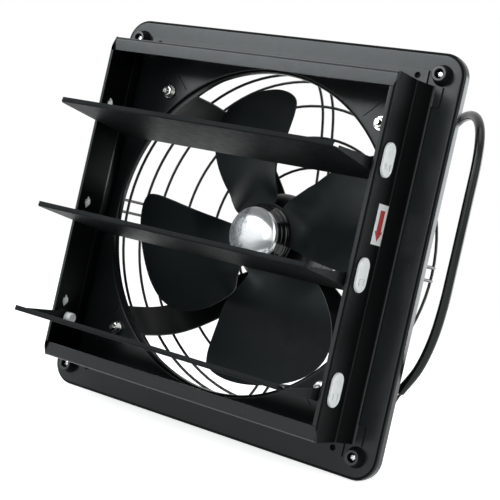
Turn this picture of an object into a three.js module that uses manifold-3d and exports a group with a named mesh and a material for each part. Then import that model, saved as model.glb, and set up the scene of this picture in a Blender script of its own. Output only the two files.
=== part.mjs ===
// Window exhaust fan with a three-blade gravity shutter: millimetres, +Z up.
// The fan axis is Y. The shutter faces -Y, the motor stands on the +Y side,
// and Y = 0 is the front face of the mounting flange.
import * as THREE from 'three';
import { mergeVertices } from 'three/addons/utils/BufferGeometryUtils.js';
import Module from 'manifold-3d';

const wasm = await Module();
wasm.setup();

// ---------- driving dimensions ----------
const seat = 0.3;               // gap left between two pieces that rest on each other
const sheet = 1.2;              // panel and channel steel

const flangeBorder = 27.5;      // mounting flange outside the shutter box
const flangeCorner = 20;
const rimDepth = 9;             // how far the flange edge is turned back
const rimRound = 3.5;
const orificeRadius = 137;      // throat of the drawn air ring
const bellRound = 3;
const collarDepth = 7;

const boxWidth = 282;           // shutter box, over the side channels
const boxHeight = 285;
const boxDepth = 50;            // flange face to the top and bottom lips
const sideReach = 3.6;          // side channels stand further forward than the lips
const lipHeight = 12;
const sideLip = 4;
const footHeight = 12;
const flareOut = 6;             // side channels splay out over the air ring
const flareDepth = 19;
const sideTabLength = 16;
const sideTabWidth = 8;
const chamferLength = 13;

const louvreCount = 3;
const louvrePitch = 88.6;
const louvreTopPivot = 70.5;
const pivotDepth = 40;          // pivot line, in front of the flange face
const louvreReach = 67;         // pivot line to the free edge
const louvreTail = 29;          // pivot line to the inner edge
const louvreSheet = 1;
const louvreDrop = 6;           // plate below the pivot line
const louvreTilt = 7;           // degrees above level when open
const louvreEndGap = 5.3;       // louvre end to the side channel's inside
const louvreLip = 3.7;
const louvreTab = 5.5;          // top of the end tabs above the pivot line
const pinRadius = 3;
const pinHubRadius = 4.6;
const pinHubLength = 7;
const bushHeight = 27;
const bushWidth = 15.5;
const bushThickness = 2.4;
const bushRise = 5.5;           // bush centre above the pivot line

const bumperInset = 18.5;       // bumper centre from the flange edge
const bumperHeight = 8.5;
const bumperBase = 8.4;
const bumperTop = 6.6;
const bumperBore = 3.7;

const armBoltRadius = 152.6;     // arm bolts, on the diagonals
const boltRadius = 2.5;
const boltReach = 8.5;           // threaded end, in front of the flange face
const boltHead = 3.5;
const hexAcross = 8;
const washerRadius = 6;
const washerSheet = 1.4;
const nutHeight = 4.3;
const armWidth = 30;
const armSheet = 2;
const guardWire = 2.6;
const guardPairGap = 11;        // between the two wires of a pair
const guardTab = 1.5;
const guardEar = 6.5;
const guardRadius = 148;
const guardShoulder = 73;       // where the basket's side turns into its dished back
const guardDepth = 115.3;
const guardSidePitch = 23;
const guardHub = 19;            // smallest ring
const guardBackPitch = 27.2;

const motorRadius = 42;
const motorWall = 1.8;
const motorFront = 52.5;
const motorSeam = 77;
const motorBack = 100.5;
const motorRound = 10;
const motorBackRound = 3;
const motorBoltCircle = 35.6;
const motorBoltRadius = 2;
const motorHexAcross = 7;
const statorFront = 65;
const statorLength = 20;
const statorBore = 20;
const statorSlots = 8;
const bearingRadius = 11;
const bearingLength = 6.5;
const shaftRadius = 4;
const play = 0.1;               // radial clearance in bearings and bushes
const airGap = 0.5;             // between the turning core and the stator

const bladeRadius = 128.5;
const bladeCount = 4;
const bladeSheet = 1.5;
const bladeStart = 81;          // direction of one blade's front edge, degrees from +X
const bladeRoot = 22;
const bladePlane = 35;          // middle plane of the blades
const bladeForward = 20;        // front edge, forward of that plane
const bladeAft = 17;            // rear edge, behind it
const discRadius = 30;
const collarRadius = 28.8;
const collarLength = 12.4;
const capRadius = 24;
const capSkirt = 2.5;           // straight edge of the hub cap
const capDome = 6;              // shallow crown in front of it

const cordRadius = 3.8;
const cordAngle = 28;           // where the cord leaves the motor, degrees from +X
const cordDepth = 91;
const glandLength = 24;
const leadRadius = 1.1;
const leadLength = 26;

// ---------- derived places ----------
const flangeSize = Math.max(boxWidth, boxHeight) + 2 * flangeBorder;
const halfWidth = boxWidth / 2;
const halfHeight = boxHeight / 2;
const panelBack = sheet;
const armStand = orificeRadius + sheet + armSheet / 2 + seat;   // straps pass just outside the collar
const armFootFront = panelBack + seat;
const guardTabFront = armFootFront + armSheet + seat;
const boltHeadFront = guardTabFront + guardTab + seat;
const sideInside = halfWidth - sheet;
const louvreHalf = sideInside - louvreEndGap;
const pivotHeights = Array.from({ length: louvreCount }, (_, i) => louvreTopPivot - i * louvrePitch);
const armBoltPlace = armBoltRadius * Math.SQRT1_2;
const bumperPlace = flangeSize / 2 - bumperInset;
const rad = THREE.MathUtils.degToRad;

// ---------- finishes ----------
const finish = (color, roughness, metalness) =>
  new THREE.MeshStandardMaterial({ color, roughness, metalness });
const blackSteel = () => finish(0x1b1d1f, 0.42, 0.25);
const bladeBlack = () => finish(0x2b2e31, 0.5, 0.1);
const wireBlack = () => finish(0x26282b, 0.4, 0.3);
const zinc = () => finish(0xc9ccce, 0.3, 0.9);
const brightSteel = () => finish(0x9fa3a6, 0.35, 0.9);
const chrome = () => finish(0xe8eaec, 0.06, 1);
const rubber = () => finish(0x141414, 0.8, 0);
const nylon = () => finish(0xe9e9e4, 0.5, 0);
const jacket = () => finish(0x1d1f22, 0.5, 0);
const copper = () => finish(0xb4673a, 0.4, 0.8);
const lamination = () => finish(0x6d7072, 0.5, 0.7);
const leadCover = () => finish(0x3a2a26, 0.5, 0);

// ---------- closed-solid helpers ----------
// Turns any closed geometry into a solid, whichever way its faces were wound.
function solid(geometry) {
  const bare = new THREE.BufferGeometry();
  bare.setAttribute('position', geometry.getAttribute('position').clone());
  if (geometry.index) bare.setIndex(geometry.index.clone());
  const merged = mergeVertices(bare, 1e-4);
  const position = merged.getAttribute('position');
  const index = merged.index.array;
  const corner = [0, 1, 2].map(() => new THREE.Vector3());
  const kept = [];
  let volume = 0;
  for (let i = 0; i < index.length; i += 3) {
    const [a, b, c] = [index[i], index[i + 1], index[i + 2]];
    if (a === b || b === c || c === a) continue;
    [a, b, c].forEach((v, k) => corner[k].fromBufferAttribute(position, v));
    volume += corner[0].dot(corner[1].clone().cross(corner[2]));
    kept.push([a, b, c]);
  }
  const triVerts = new Uint32Array(kept.flatMap(([a, b, c]) => (volume < 0 ? [a, c, b] : [a, b, c])));
  return new wasm.Manifold(new wasm.Mesh({
    numProp: 3, vertProperties: new Float32Array(position.array), triVerts,
  }));
}

function geometryOf(body) {
  const mesh = body.getMesh();
  const geometry = new THREE.BufferGeometry();
  geometry.setAttribute('position', new THREE.BufferAttribute(new Float32Array(mesh.vertProperties), 3));
  geometry.setIndex(new THREE.BufferAttribute(new Uint32Array(mesh.triVerts), 1));
  return geometry;
}

const join = (...bodies) => bodies.reduce((sum, body) => sum.add(body));
const cut = (body, ...tools) => tools.reduce((rest, tool) => rest.subtract(tool), body);

const X = new THREE.Vector3(1, 0, 0);
const Y = new THREE.Vector3(0, 1, 0);
const Z = new THREE.Vector3(0, 0, 1);

// An outline drawn in (across, up) and pushed along a direction.
function pushed(shape, across, up, along, from, length, options = {}) {
  const geometry = new THREE.ExtrudeGeometry(shape, {
    depth: length, bevelEnabled: false, curveSegments: 5, ...options,
  });
  const turn = new THREE.Matrix4().makeBasis(across, up, along);
  return geometry.applyMatrix4(turn).translate(along.x * from, along.y * from, along.z * from);
}
const alongX = (shape, from, length) => pushed(shape, Y, Z, X, from, length);
const alongZ = (shape, from, length) => pushed(shape, X, Y, Z, from, length);
const alongY = (shape, from, length, options) =>
  pushed(shape, Z, X, Y, from, length, options);

// A ring or turned part about the fan axis, from (radius, y) points of a closed profile.
function turned(points, steps) {
  const profile = points.map(([r, y]) => new THREE.Vector2(r, y));
  const closed = points[0][0] === 0 && points[points.length - 1][0] === 0;
  if (!closed) profile.push(profile[0].clone());
  return new THREE.LatheGeometry(profile, steps);
}

// A quarter-round run of (radius, y) points about a centre, between two angles.
function arc(cx, cy, r, from, to, steps) {
  return Array.from({ length: steps + 1 }, (_, i) => {
    const a = rad(from + ((to - from) * i) / steps);
    return [cx + r * Math.cos(a), cy + r * Math.sin(a)];
  });
}

// Rounds the inner corners of an open path of [u, v] points.
function softened(path, radius, steps = 3) {
  const out = [path[0]];
  for (let i = 1; i < path.length - 1; i += 1) {
    const [p, q, s] = [path[i - 1], path[i], path[i + 1]].map(([u, v]) => new THREE.Vector2(u, v));
    const inward = p.clone().sub(q);
    const outward = s.clone().sub(q);
    const reach = Math.min(radius, inward.length() / 2.2, outward.length() / 2.2);
    const a = q.clone().addScaledVector(inward.normalize(), reach);
    const b = q.clone().addScaledVector(outward.normalize(), reach);
    const bend = new THREE.QuadraticBezierCurve(a, q, b);
    bend.getPoints(steps).forEach((point) => out.push([point.x, point.y]));
  }
  out.push(path[path.length - 1]);
  return out;
}

// The outline of a folded sheet, from its middle line and thickness.
function folded(path, thickness) {
  const points = path.map(([u, v]) => new THREE.Vector2(u, v));
  const side = (sign) => points.map((point, i) => {
    const before = points[Math.max(i - 1, 0)];
    const after = points[Math.min(i + 1, points.length - 1)];
    const n1 = normalOf(i === 0 ? point : before, i === 0 ? after : point);
    const n2 = normalOf(i === points.length - 1 ? before : point, i === points.length - 1 ? point : after);
    const mitre = n1.clone().add(n2).normalize();
    const reach = thickness / 2 / Math.max(mitre.dot(n1), 0.3);
    return point.clone().addScaledVector(mitre, sign * reach);
  });
  return new THREE.Shape([...side(1), ...side(-1).reverse()]);
}
function normalOf(a, b) {
  const d = b.clone().sub(a).normalize();
  return new THREE.Vector2(-d.y, d.x);
}

function roundedRect(width, height, radius) {
  const [w, h] = [width / 2, height / 2];
  const shape = new THREE.Shape();
  shape.moveTo(-w + radius, -h);
  shape.lineTo(w - radius, -h).absarc(w - radius, -h + radius, radius, -Math.PI / 2, 0);
  shape.lineTo(w, h - radius).absarc(w - radius, h - radius, radius, 0, Math.PI / 2);
  shape.lineTo(-w + radius, h).absarc(-w + radius, h - radius, radius, Math.PI / 2, Math.PI);
  shape.lineTo(-w, -h + radius).absarc(-w + radius, -h + radius, radius, Math.PI, 1.5 * Math.PI);
  return shape;
}

function block(x0, x1, y0, y1, z0, z1) {
  return solid(new THREE.BoxGeometry(x1 - x0, y1 - y0, z1 - z0)
    .translate((x0 + x1) / 2, (y0 + y1) / 2, (z0 + z1) / 2));
}

// A round bar lying along Y, X or any direction.
const barY = (r, y0, y1, x, z, steps = 16) => solid(
  new THREE.CylinderGeometry(r, r, y1 - y0, steps).translate(x, (y0 + y1) / 2, z));
const barX = (r, x0, x1, y, z, steps = 16) => solid(
  new THREE.CylinderGeometry(r, r, x1 - x0, steps).rotateZ(Math.PI / 2).translate((x0 + x1) / 2, y, z));

// A tube of even section along a list of points.
function tube(points, radius, sides, steps) {
  const route = new THREE.CatmullRomCurve3(points.map((p) => new THREE.Vector3(...p)), false, 'centripetal');
  const section = new THREE.Shape(Array.from({ length: sides }, (_, i) => {
    const a = (2 * Math.PI * (i + 0.5)) / sides;
    return new THREE.Vector2(radius * Math.cos(a), radius * Math.sin(a));
  }));
  return new THREE.ExtrudeGeometry(section, { steps, bevelEnabled: false, extrudePath: route });
}

// ---------- assembly ----------
const fan = new THREE.Group();
function put(name, body, material) {
  const mesh = new THREE.Mesh(geometryOf(body), material);
  mesh.name = name;
  fan.add(mesh);
}

const corners = [[1, 1], [-1, 1], [-1, -1], [1, -1]];   // x and z signs, counter-clockwise from top right

// ---------- flange panel with its drawn air ring ----------
const ringSteps = 36;
function mainPanel() {
  const shell = (inset, front, back) => {
    const size = flangeSize - 2 * rimRound;
    const bevel = rimRound - inset;
    const flat = roundedRect(size, size, flangeCorner - rimRound);
    return solid(alongY(flat, front + bevel, back - front, {
      bevelEnabled: true, bevelThickness: bevel, bevelSize: bevel, bevelSegments: 2, curveSegments: 4,
    }));
  };
  const outer = shell(0, 0, rimDepth + rimRound);
  const inner = shell(sheet, sheet, rimDepth + 2 * rimRound);
  const behind = block(-flangeSize, flangeSize, rimDepth, 4 * rimDepth, -flangeSize, flangeSize);
  const dish = cut(outer, inner, behind);

  const outside = orificeRadius + bellRound;
  const ring = solid(turned([
    [outside + sheet, 0], ...arc(outside, bellRound, bellRound, 270, 180, 2),
    [orificeRadius, collarDepth], [orificeRadius + sheet, collarDepth],
    ...arc(outside, bellRound, bellRound - sheet, 180, 270, 2), [outside + sheet, sheet],
  ], ringSteps));
  const opening = barY(outside, -1, rimDepth, 0, 0, ringSteps);
  const boltHoles = corners.map(([sx, sz]) =>
    barY(boltRadius + seat, -1, rimDepth, sx * armBoltPlace, sz * armBoltPlace, 10));
  const screwHoles = corners.map(([sx, sz]) =>
    barY(2.3, -1, rimDepth, sx * bumperPlace, sz * bumperPlace, 10));
  return cut(join(cut(dish, opening), ring), ...boltHoles, ...screwHoles);
}
put('main_panel', mainPanel(), blackSteel());

// ---------- shutter box ----------
function crossChannel(sign) {
  const web = sign * (halfHeight - sheet / 2);
  const path = softened([
    [-boxDepth + sheet / 2, sign * (halfHeight - lipHeight)],
    [-boxDepth + sheet / 2, web],
    [-seat - sheet / 2, web],
    [-seat - sheet / 2, sign * (halfHeight + footHeight)],
  ], 2.5);
  const half = sideInside - seat;
  const channel = solid(alongX(folded(path, sheet), -half, 2 * half));
  const holes = [-1, 1].map((side) =>
    barY(2.5, -3, 1, side * (half - 9), sign * (halfHeight + footHeight / 2 + 1), 14));
  return cut(channel, ...holes);
}
put('shutter_top', crossChannel(1), blackSteel());
put('shutter_bottom', crossChannel(-1), blackSteel());

function sideChannel(sign) {
  const wall = sign * (halfWidth - sheet / 2);
  const front = -boxDepth - sideReach + sheet / 2;
  const foot = -seat - sheet / 2;
  const path = softened([
    [sign * (halfWidth - sideLip), front],
    [wall, front],
    [wall, -flareDepth],
    [wall + sign * flareOut, foot],
    [wall + sign * (flareOut + sideTabWidth), foot],
  ], 2.5);
  const channel = solid(alongZ(folded(path, sheet), -halfHeight, boxHeight));
  const tabEnd = halfHeight - sideTabLength;
  const betweenTabs = block(
    ...[wall + sign * (flareOut + 1.5), sign * flangeSize].sort((a, b) => a - b), -4, 1, -tabEnd, tabEnd);
  const chamfers = [-1, 1].map((end) => {
    const corner = new THREE.Shape([
      [-boxDepth - sideReach - 1, end * (halfHeight + 1)],
      [-boxDepth + sheet + 1, end * (halfHeight + 1)],
      [-boxDepth - sideReach - 1, end * (halfHeight - chamferLength - 1)],
    ].map(([u, v]) => new THREE.Vector2(u, v)));
    return solid(alongX(corner, -flangeSize, 2 * flangeSize));
  });
  const lipEnds = [-1, 1].map((end) => block(
    ...[sign * (halfWidth - sideLip - 1), sign * (halfWidth - sheet)].sort((a, b) => a - b),
    -boxDepth - sideReach - 1, -boxDepth + 1,
    ...[end * (halfHeight - chamferLength), end * (halfHeight + 1)].sort((a, b) => a - b)));
  const openings = pivotHeights.flatMap((height) => bushOpenings(sign, height));
  return cut(channel, betweenTabs, ...chamfers, ...lipEnds, ...openings);
}

// ---------- pivot bushes: an oval plate outside, a sleeve and a snap hook through the wall ----------
const sleeveRadius = pinRadius + play + 1.5;
const snapRise = 14;
function bushOpenings(sign, height) {
  const [x0, x1] = [sign * (halfWidth - 4), sign * (halfWidth + 4)].sort((a, b) => a - b);
  return [
    barX(sleeveRadius + seat, x0, x1, -pivotDepth, height, 10),
    block(x0, x1, -pivotDepth - 2.5, -pivotDepth + 2.5, height + snapRise - 2.2, height + snapRise + 2.2),
  ];
}
put('shutter_left', sideChannel(-1), blackSteel());
put('shutter_right', sideChannel(1), blackSteel());

function pivotBush(sign, height) {
  const outer = halfWidth + seat;
  const oval = roundedRect(bushWidth, bushHeight, bushWidth / 2 - 0.01);
  const plate = solid(pushed(oval, Y, Z, X, outer, bushThickness, { curveSegments: 3 })
    .translate(0, -pivotDepth, height + bushRise));
  const sleeve = barX(sleeveRadius, sideInside - 2.6, outer + 1, -pivotDepth, height, 10);
  const bore = barX(pinRadius + play, sideInside - 4, outer + bushThickness - 0.6, -pivotDepth, height, 16);
  const hookTop = height + snapRise;
  const neck = block(sideInside - 1.2, outer + 1, -pivotDepth - 2.1, -pivotDepth + 2.1, hookTop - 1.7, hookTop + 1.7);
  const barb = new THREE.CylinderGeometry(0.9, 3.4, 3.2, 4).rotateZ(Math.PI / 2);
  const hook = solid(barb.translate(sideInside - seat - 1.6, -pivotDepth, hookTop));
  const slots = [-1, 1].map((side) => block(
    outer + bushThickness - 0.8, outer + bushThickness + 2,
    -pivotDepth + side * 2.6 - 0.8, -pivotDepth + side * 2.6 + 0.8, height - 3.4, height + 0.8));
  const bush = cut(join(plate, sleeve, neck, hook), bore, ...slots);
  return sign > 0 ? bush : bush.mirror([1, 0, 0]);
}
pivotHeights.forEach((height, i) => {
  put(`pivot_bush_left_${i + 1}`, pivotBush(-1, height), nylon());
  put(`pivot_bush_right_${i + 1}`, pivotBush(1, height), nylon());
});

// ---------- louvres ----------
// The plate runs from the folded free edge to a hooked tail; the end tabs stand up to the pivot line.
function louvre(height) {
  const plate = softened([
    [-louvreReach + 0.8, -louvreDrop + louvreLip],
    [-louvreReach, -louvreDrop],
    [louvreTail - 4, -louvreDrop],
    [louvreTail, -louvreDrop + 1.6],
  ], 1.2, 2);
  const blade = solid(alongX(folded(plate, louvreSheet), -louvreHalf, 2 * louvreHalf));
  const tab = new THREE.Shape([
    [-louvreReach + 6, -louvreDrop - 0.3], [18, -louvreDrop - 0.3],
    [12, louvreTab - 4], [8, louvreTab], [-8, louvreTab], [-14, louvreTab - 2.5],
    [-louvreReach + 6, -louvreDrop + 2.4],
  ].map(([u, v]) => new THREE.Vector2(u, v)));
  const tabs = [-louvreHalf, louvreHalf - louvreSheet].map((from) => solid(alongX(tab, from, louvreSheet)));
  const bores = [-1, 1].map((side) => barX(
    pinRadius + seat, ...[side * (louvreHalf - 3), side * (louvreHalf + 3)].sort((a, b) => a - b), 0, 0, 12));
  const ends = [-1, 1].map((side) => {
    const corner = new THREE.Shape([
      [side * (louvreHalf + 1), -louvreReach - 4],
      [side * (louvreHalf + 1), -louvreReach + 6],
      [side * (louvreHalf - 5), -louvreReach - 4],
    ].map(([u, v]) => new THREE.Vector2(u, v)));
    return solid(alongZ(corner, -20, 40));
  });
  return cut(join(blade, ...tabs), ...bores, ...ends)
    .rotate([-louvreTilt, 0, 0]).translate(0, -pivotDepth, height);
}

// Nylon pin: a hub inside the tab and a journal out through the sleeve.
function louvrePin(sign, height) {
  const inner = louvreHalf - louvreSheet - seat;
  const hub = barX(pinHubRadius, inner - pinHubLength, inner, -pivotDepth, height, 14);
  const journal = barX(pinRadius, inner - 1, halfWidth + bushThickness - 0.8, -pivotDepth, height, 16);
  const pin = join(hub, journal);
  return sign > 0 ? pin : pin.mirror([1, 0, 0]);
}
pivotHeights.forEach((height, i) => {
  put(`louvre_${i + 1}`, louvre(height), blackSteel());
  put(`louvre_pin_left_${i + 1}`, louvrePin(-1, height), nylon());
  put(`louvre_pin_right_${i + 1}`, louvrePin(1, height), nylon());
});

// ---------- rubber bumpers and their screws ----------
function bumper() {
  return turned([
    [2.3, -seat], [bumperBase, -seat], [bumperBase, -seat - 1], [bumperTop + 0.7, -bumperHeight + 1.2],
    [bumperTop - 0.4, -bumperHeight], [bumperBore, -bumperHeight], [bumperBore, -3], [2.3, -3],
  ], 10);
}
function crossScrew() {
  const top = -3 - seat - 2.4;
  const body = solid(turned([
    [0, top], [1.8, top + 0.1], [3.2, top + 1.1], [3.2, -3 - seat], [1.9, -3 - seat], [1.9, 5], [0, 7.5],
  ], 8));
  const blades = [[1.9, 0.45], [0.45, 1.9]].map(([w, h]) => block(-w, w, top - 1, top + 1.3, -h, h));
  return cut(body, ...blades);
}
corners.forEach(([sx, sz], i) => {
  const [x, z] = [sx * bumperPlace, sz * bumperPlace];
  put(`corner_bumper_${i + 1}`, solid(bumper()).translate(x, 0, z), rubber());
  put(`bumper_screw_${i + 1}`, crossScrew().translate(x, 0, z), brightSteel());
});

// ---------- motor arms: bent straps from the panel corners round to the motor's back ----------
function motorArm(direction) {
  const line = [
    [armBoltRadius + 10, 0], [armStand + 3.4, 0], [armStand, 3.4], [armStand - 0.5, 18], [armStand - 3.5, 42],
    [armStand - 11, 61], [armStand - 26, 77], [armStand - 48, 89],
    [armStand - 72, motorBack + seat - armFootFront - 3], [motorRadius + 10, motorBack + seat - armFootFront],
    [motorBoltCircle - 6, motorBack + seat - armFootFront],
  ].map(([r, y]) => new THREE.Vector2(r, y + armFootFront + armSheet / 2));
  const run = new THREE.SplineCurve(line.slice(1)).getPoints(14).map((p) => [p.x, p.y]);
  const strip = folded([[line[0].x, line[0].y], ...run], armSheet);
  const strap = solid(alongX(swapped(strip), -armWidth / 2, armWidth));
  const reach = armBoltRadius + 10;
  const outline = new THREE.Shape();
  outline.moveTo(-armWidth / 2, motorRadius + 34);
  outline.lineTo(-armWidth / 2, reach - 6).lineTo(-armWidth / 2 + 7, reach + 1);
  outline.lineTo(armWidth / 2 - 7, reach + 1).lineTo(armWidth / 2, reach - 6);
  outline.lineTo(armWidth / 2, motorRadius + 34).lineTo(7, motorBoltCircle + 6);
  outline.lineTo(6, motorBoltCircle - 7).lineTo(-6, motorBoltCircle - 7).lineTo(-7, motorBoltCircle + 6);
  const trimmed = strap.intersect(solid(pushed(outline, X, Z, Y.clone().negate(), -140, 150)));
  const holes = [
    barY(boltRadius + seat, -2, 12, 0, armBoltRadius, 10),
    barY(motorBoltRadius + seat, motorBack - 5, motorBack + 8, 0, motorBoltCircle, 10),
  ];
  return cut(trimmed, ...holes).rotate([0, 90 - direction, 0]);
}
// Reads an outline of (radius, y) as (y, radius), so that it can be pushed along X.
function swapped(shape) {
  return new THREE.Shape(shape.getPoints().map((p) => new THREE.Vector2(p.y, p.x)).reverse());
}
const armDirections = [45, 135, 225, 315];
armDirections.forEach((direction, i) => put(`motor_arm_${i + 1}`, motorArm(direction), blackSteel()));

// ---------- corner bolts: hex head behind, washer and nut in front ----------
const hexagon = (across, y0, y1) => solid(
  new THREE.CylinderGeometry(across / Math.sqrt(3), across / Math.sqrt(3), y1 - y0, 6).translate(0, (y0 + y1) / 2, 0));
function armBolt() {
  const shank = barY(boltRadius, -boltReach, boltHeadFront + 1, 0, 0, 8);
  return join(hexagon(hexAcross, boltHeadFront, boltHeadFront + boltHead), shank);
}
function armNut() {
  const nutBack = -washerSheet + 0.1;
  const washer = barY(washerRadius, -washerSheet - seat, -seat, 0, 0, 12);
  const bore = barY(boltRadius + seat, -boltReach, 1, 0, 0, 8);
  return cut(join(washer, hexagon(hexAcross, nutBack - nutHeight, nutBack)), bore);
}
corners.forEach(([sx, sz], i) => {
  put(`arm_bolt_${i + 1}`, armBolt().translate(sx * armBoltPlace, 0, sz * armBoltPlace), zinc());
  put(`arm_nut_${i + 1}`, armNut().translate(sx * armBoltPlace, 0, sz * armBoltPlace), zinc());
});

// ---------- wire guard: a deep basket of rings, with four pairs of ribs welded outside ----------
const ribSteps = 12;
const guardBase = guardTabFront + guardWire / 2;
const guardDish = (r) =>
  guardShoulder + (guardDepth - guardShoulder) * (1 - (r / guardRadius) ** 2) ** 0.6;
const guardRings = [
  [armBoltRadius - guardEar + 0.3, guardBase],
  ...[2, 1, 0].map((k) => [guardRadius - 2 + k, guardShoulder - k * guardSidePitch]),
  ...[4, 3, 2, 1, 0].map((k) => guardHub + k * guardBackPitch).map((r) => [r, guardDish(r)]),
];
function wireGuard() {
  const section = (r, y) => arc(r, y, guardWire / 2, 45, 315, 3);
  const rings = guardRings.map(([r, y]) => solid(turned(section(r, y), r > 90 ? 24 : 16)));
  const weld = guardWire * 0.22;
  const ribLine = guardRings.map(([r, y], i) => {
    const before = guardRings[Math.max(i - 1, 0)];
    const after = guardRings[Math.min(i + 1, guardRings.length - 1)];
    const run = new THREE.Vector2(after[0] - before[0], after[1] - before[1]).normalize();
    return [r + run.y * weld, y - run.x * weld];
  });
  const ribs = [0, 90, 180, 270].flatMap((direction) => [-1, 1].map((side) => {
    const inner = [guardHub - 3, ribLine[ribLine.length - 1][1]];
    const points = [...ribLine, inner].map(([r, y]) => [(side * guardPairGap) / 2, y, r]);
    return solid(tube(points, guardWire / 2, 4, ribSteps)).rotate([0, direction, 0]);
  }));
  const tabs = corners.map((_, i) => {
    const ear = new THREE.Shape();
    const heel = guardRings[0][0] - 0.6;
    ear.moveTo(-guardEar, heel).lineTo(guardEar, heel).lineTo(guardEar, armBoltRadius);
    ear.absarc(0, armBoltRadius, guardEar, 0, Math.PI);
    const plate = solid(pushed(ear, X, Z, Y.clone().negate(), -guardTabFront - guardTab, guardTab));
    const hole = barY(boltRadius + seat, -2, 12, 0, armBoltRadius, 10);
    return cut(plate, hole).rotate([0, 45 + 90 * i, 0]);
  });
  return join(...rings, ...ribs, ...tabs);
}
put('wire_guard', wireGuard(), wireBlack());

// ---------- motor ----------
const turnSteps = 20;
const pillarFront = motorFront + motorWall - seat;
const frontBearing = motorFront - 1.5;
const rearBearing = motorBack - motorWall - seat - bearingLength;
function frontShell() {
  const inner = motorRadius - motorWall;
  const boss = bearingRadius + seat + motorWall;
  const profile = [
    [shaftRadius + 1.2, frontBearing - motorWall - seat], [boss - 1, frontBearing - motorWall - seat],
    [boss, frontBearing - motorWall - seat + 1], [boss, motorFront],
    ...arc(motorRadius - motorRound, motorFront + motorRound, motorRound, 270, 360, 3),
    [motorRadius, motorSeam], [inner, motorSeam],
    ...arc(motorRadius - motorRound, motorFront + motorRound, motorRound - motorWall, 360, 270, 1),
    [boss, motorFront + motorWall],
    [boss, frontBearing + bearingLength - 1.5], [boss - motorWall, frontBearing + bearingLength - 1.5],
    [boss - motorWall, frontBearing - seat], [shaftRadius + 1.2, frontBearing - seat],
  ];
  const pillars = armDirections.map((direction) => {
    const [x, z] = onCircle(motorBoltCircle, direction);
    return barY(motorBoltRadius + 2, pillarFront, statorFront - seat, x, z, 8);
  });
  const holes = armDirections.map((direction) => {
    const [x, z] = onCircle(motorBoltCircle, direction);
    return barY(motorBoltRadius + seat, pillarFront + 2, motorBack, x, z, 8);
  });
  return cut(join(solid(turned(profile, turnSteps)), ...pillars), ...holes);
}
function onCircle(radius, direction) {
  return [radius * Math.cos(rad(direction)), radius * Math.sin(rad(direction))];
}
function rearShell() {
  const inner = motorRadius - motorWall;
  const boss = bearingRadius + seat + motorWall;
  const profile = [
    [0, motorBack], ...arc(motorRadius - motorBackRound, motorBack - motorBackRound, motorBackRound, 90, 0, 2),
    [motorRadius, motorSeam + seat], [inner, motorSeam + seat],
    ...arc(motorRadius - motorBackRound, motorBack - motorBackRound, motorBackRound - motorWall, 0, 90, 2),
    [boss, motorBack - motorWall],
    [boss, rearBearing - seat + 1.5], [boss - motorWall, rearBearing - seat + 1.5],
    [boss - motorWall, motorBack - motorWall], [0, motorBack - motorWall],
  ];
  const holes = armDirections.map((direction) => {
    const [x, z] = onCircle(motorBoltCircle, direction);
    return barY(motorBoltRadius + seat, motorSeam, motorBack + 1, x, z, 8);
  });
  const cordHole = outward(barY(glandNeck + seat, motorRadius - 6, motorRadius + 4, 0, 0, 16));
  return cut(solid(turned(profile, turnSteps)), ...holes, cordHole);
}
// Takes something made along +Y from the axis and points it the way the cord leaves.
const glandNeck = cordRadius + 1.4;
function outward(body) {
  return body.rotate([0, 0, -90]).rotate([0, -cordAngle, 0]).translate(0, cordDepth, 0);
}
put('motor_front_shell', frontShell(), blackSteel());
put('motor_rear_shell', rearShell(), blackSteel());

function statorCore() {
  const outer = motorRadius - motorWall - seat;
  const shape = new THREE.Shape();
  shape.absarc(0, 0, outer, 0, 2 * Math.PI);
  const core = solid(alongY(shape, statorFront, statorLength, { curveSegments: turnSteps / 2 }));
  const bore = barY(statorBore, 0, 2 * motorBack, 0, 0, turnSteps);
  const slots = slotDirections.map((direction) => block(
    statorBore + 2.5, statorBore + 11.5, 0, 2 * motorBack, -3, 3).rotate([0, -direction, 0]));
  const grooves = armDirections.map((direction) => {
    const [x, z] = onCircle(motorBoltCircle, direction);
    return barY(motorBoltRadius + seat, 0, 2 * motorBack, x, z, 8);
  });
  return cut(core, bore, ...slots, ...grooves);
}
const slotDirections = Array.from({ length: statorSlots }, (_, i) => (360 * i) / statorSlots);
function statorWinding() {
  const ring = (y0, y1) => {
    const [low, high] = [statorBore + 2.8, statorBore + 11.2];
    const middle = (y0 + y1) / 2;
    return solid(turned([[low, y0], [high, y0], [high, middle], [high - 2, y1], [low + 2, y1], [low, middle]],
      slotDirections.length * 2));
  };
  const bars = slotDirections.map((direction) => block(
    statorBore + 4.2, statorBore + 9.8, statorFront - 2, statorFront + statorLength + 2, -2.6, 2.6)
    .rotate([0, -direction, 0]));
  return join(ring(statorFront - 7, statorFront - seat),
    ring(statorFront + statorLength + seat, statorFront + statorLength + 6), ...bars);
}
put('stator_core', statorCore(), lamination());
put('stator_winding', statorWinding(), copper());

const bearing = (front) => turned([
  [shaftRadius + play, front], [bearingRadius, front],
  [bearingRadius, front + bearingLength], [shaftRadius + play, front + bearingLength],
], 16);
put('front_bearing', solid(bearing(frontBearing)), brightSteel());
put('rear_bearing', solid(bearing(rearBearing)), brightSteel());

function motorBolt() {
  const headFront = motorBack + seat + armSheet + seat;
  const head = hexagon(motorHexAcross, headFront, headFront + 3);
  return join(head, barY(motorBoltRadius, pillarFront + 3, headFront + 1, 0, 0, 8));
}
armDirections.forEach((direction, i) => {
  const [x, z] = onCircle(motorBoltCircle, direction);
  put(`motor_bolt_${i + 1}`, motorBolt().translate(x, 0, z), zinc());
});

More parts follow.
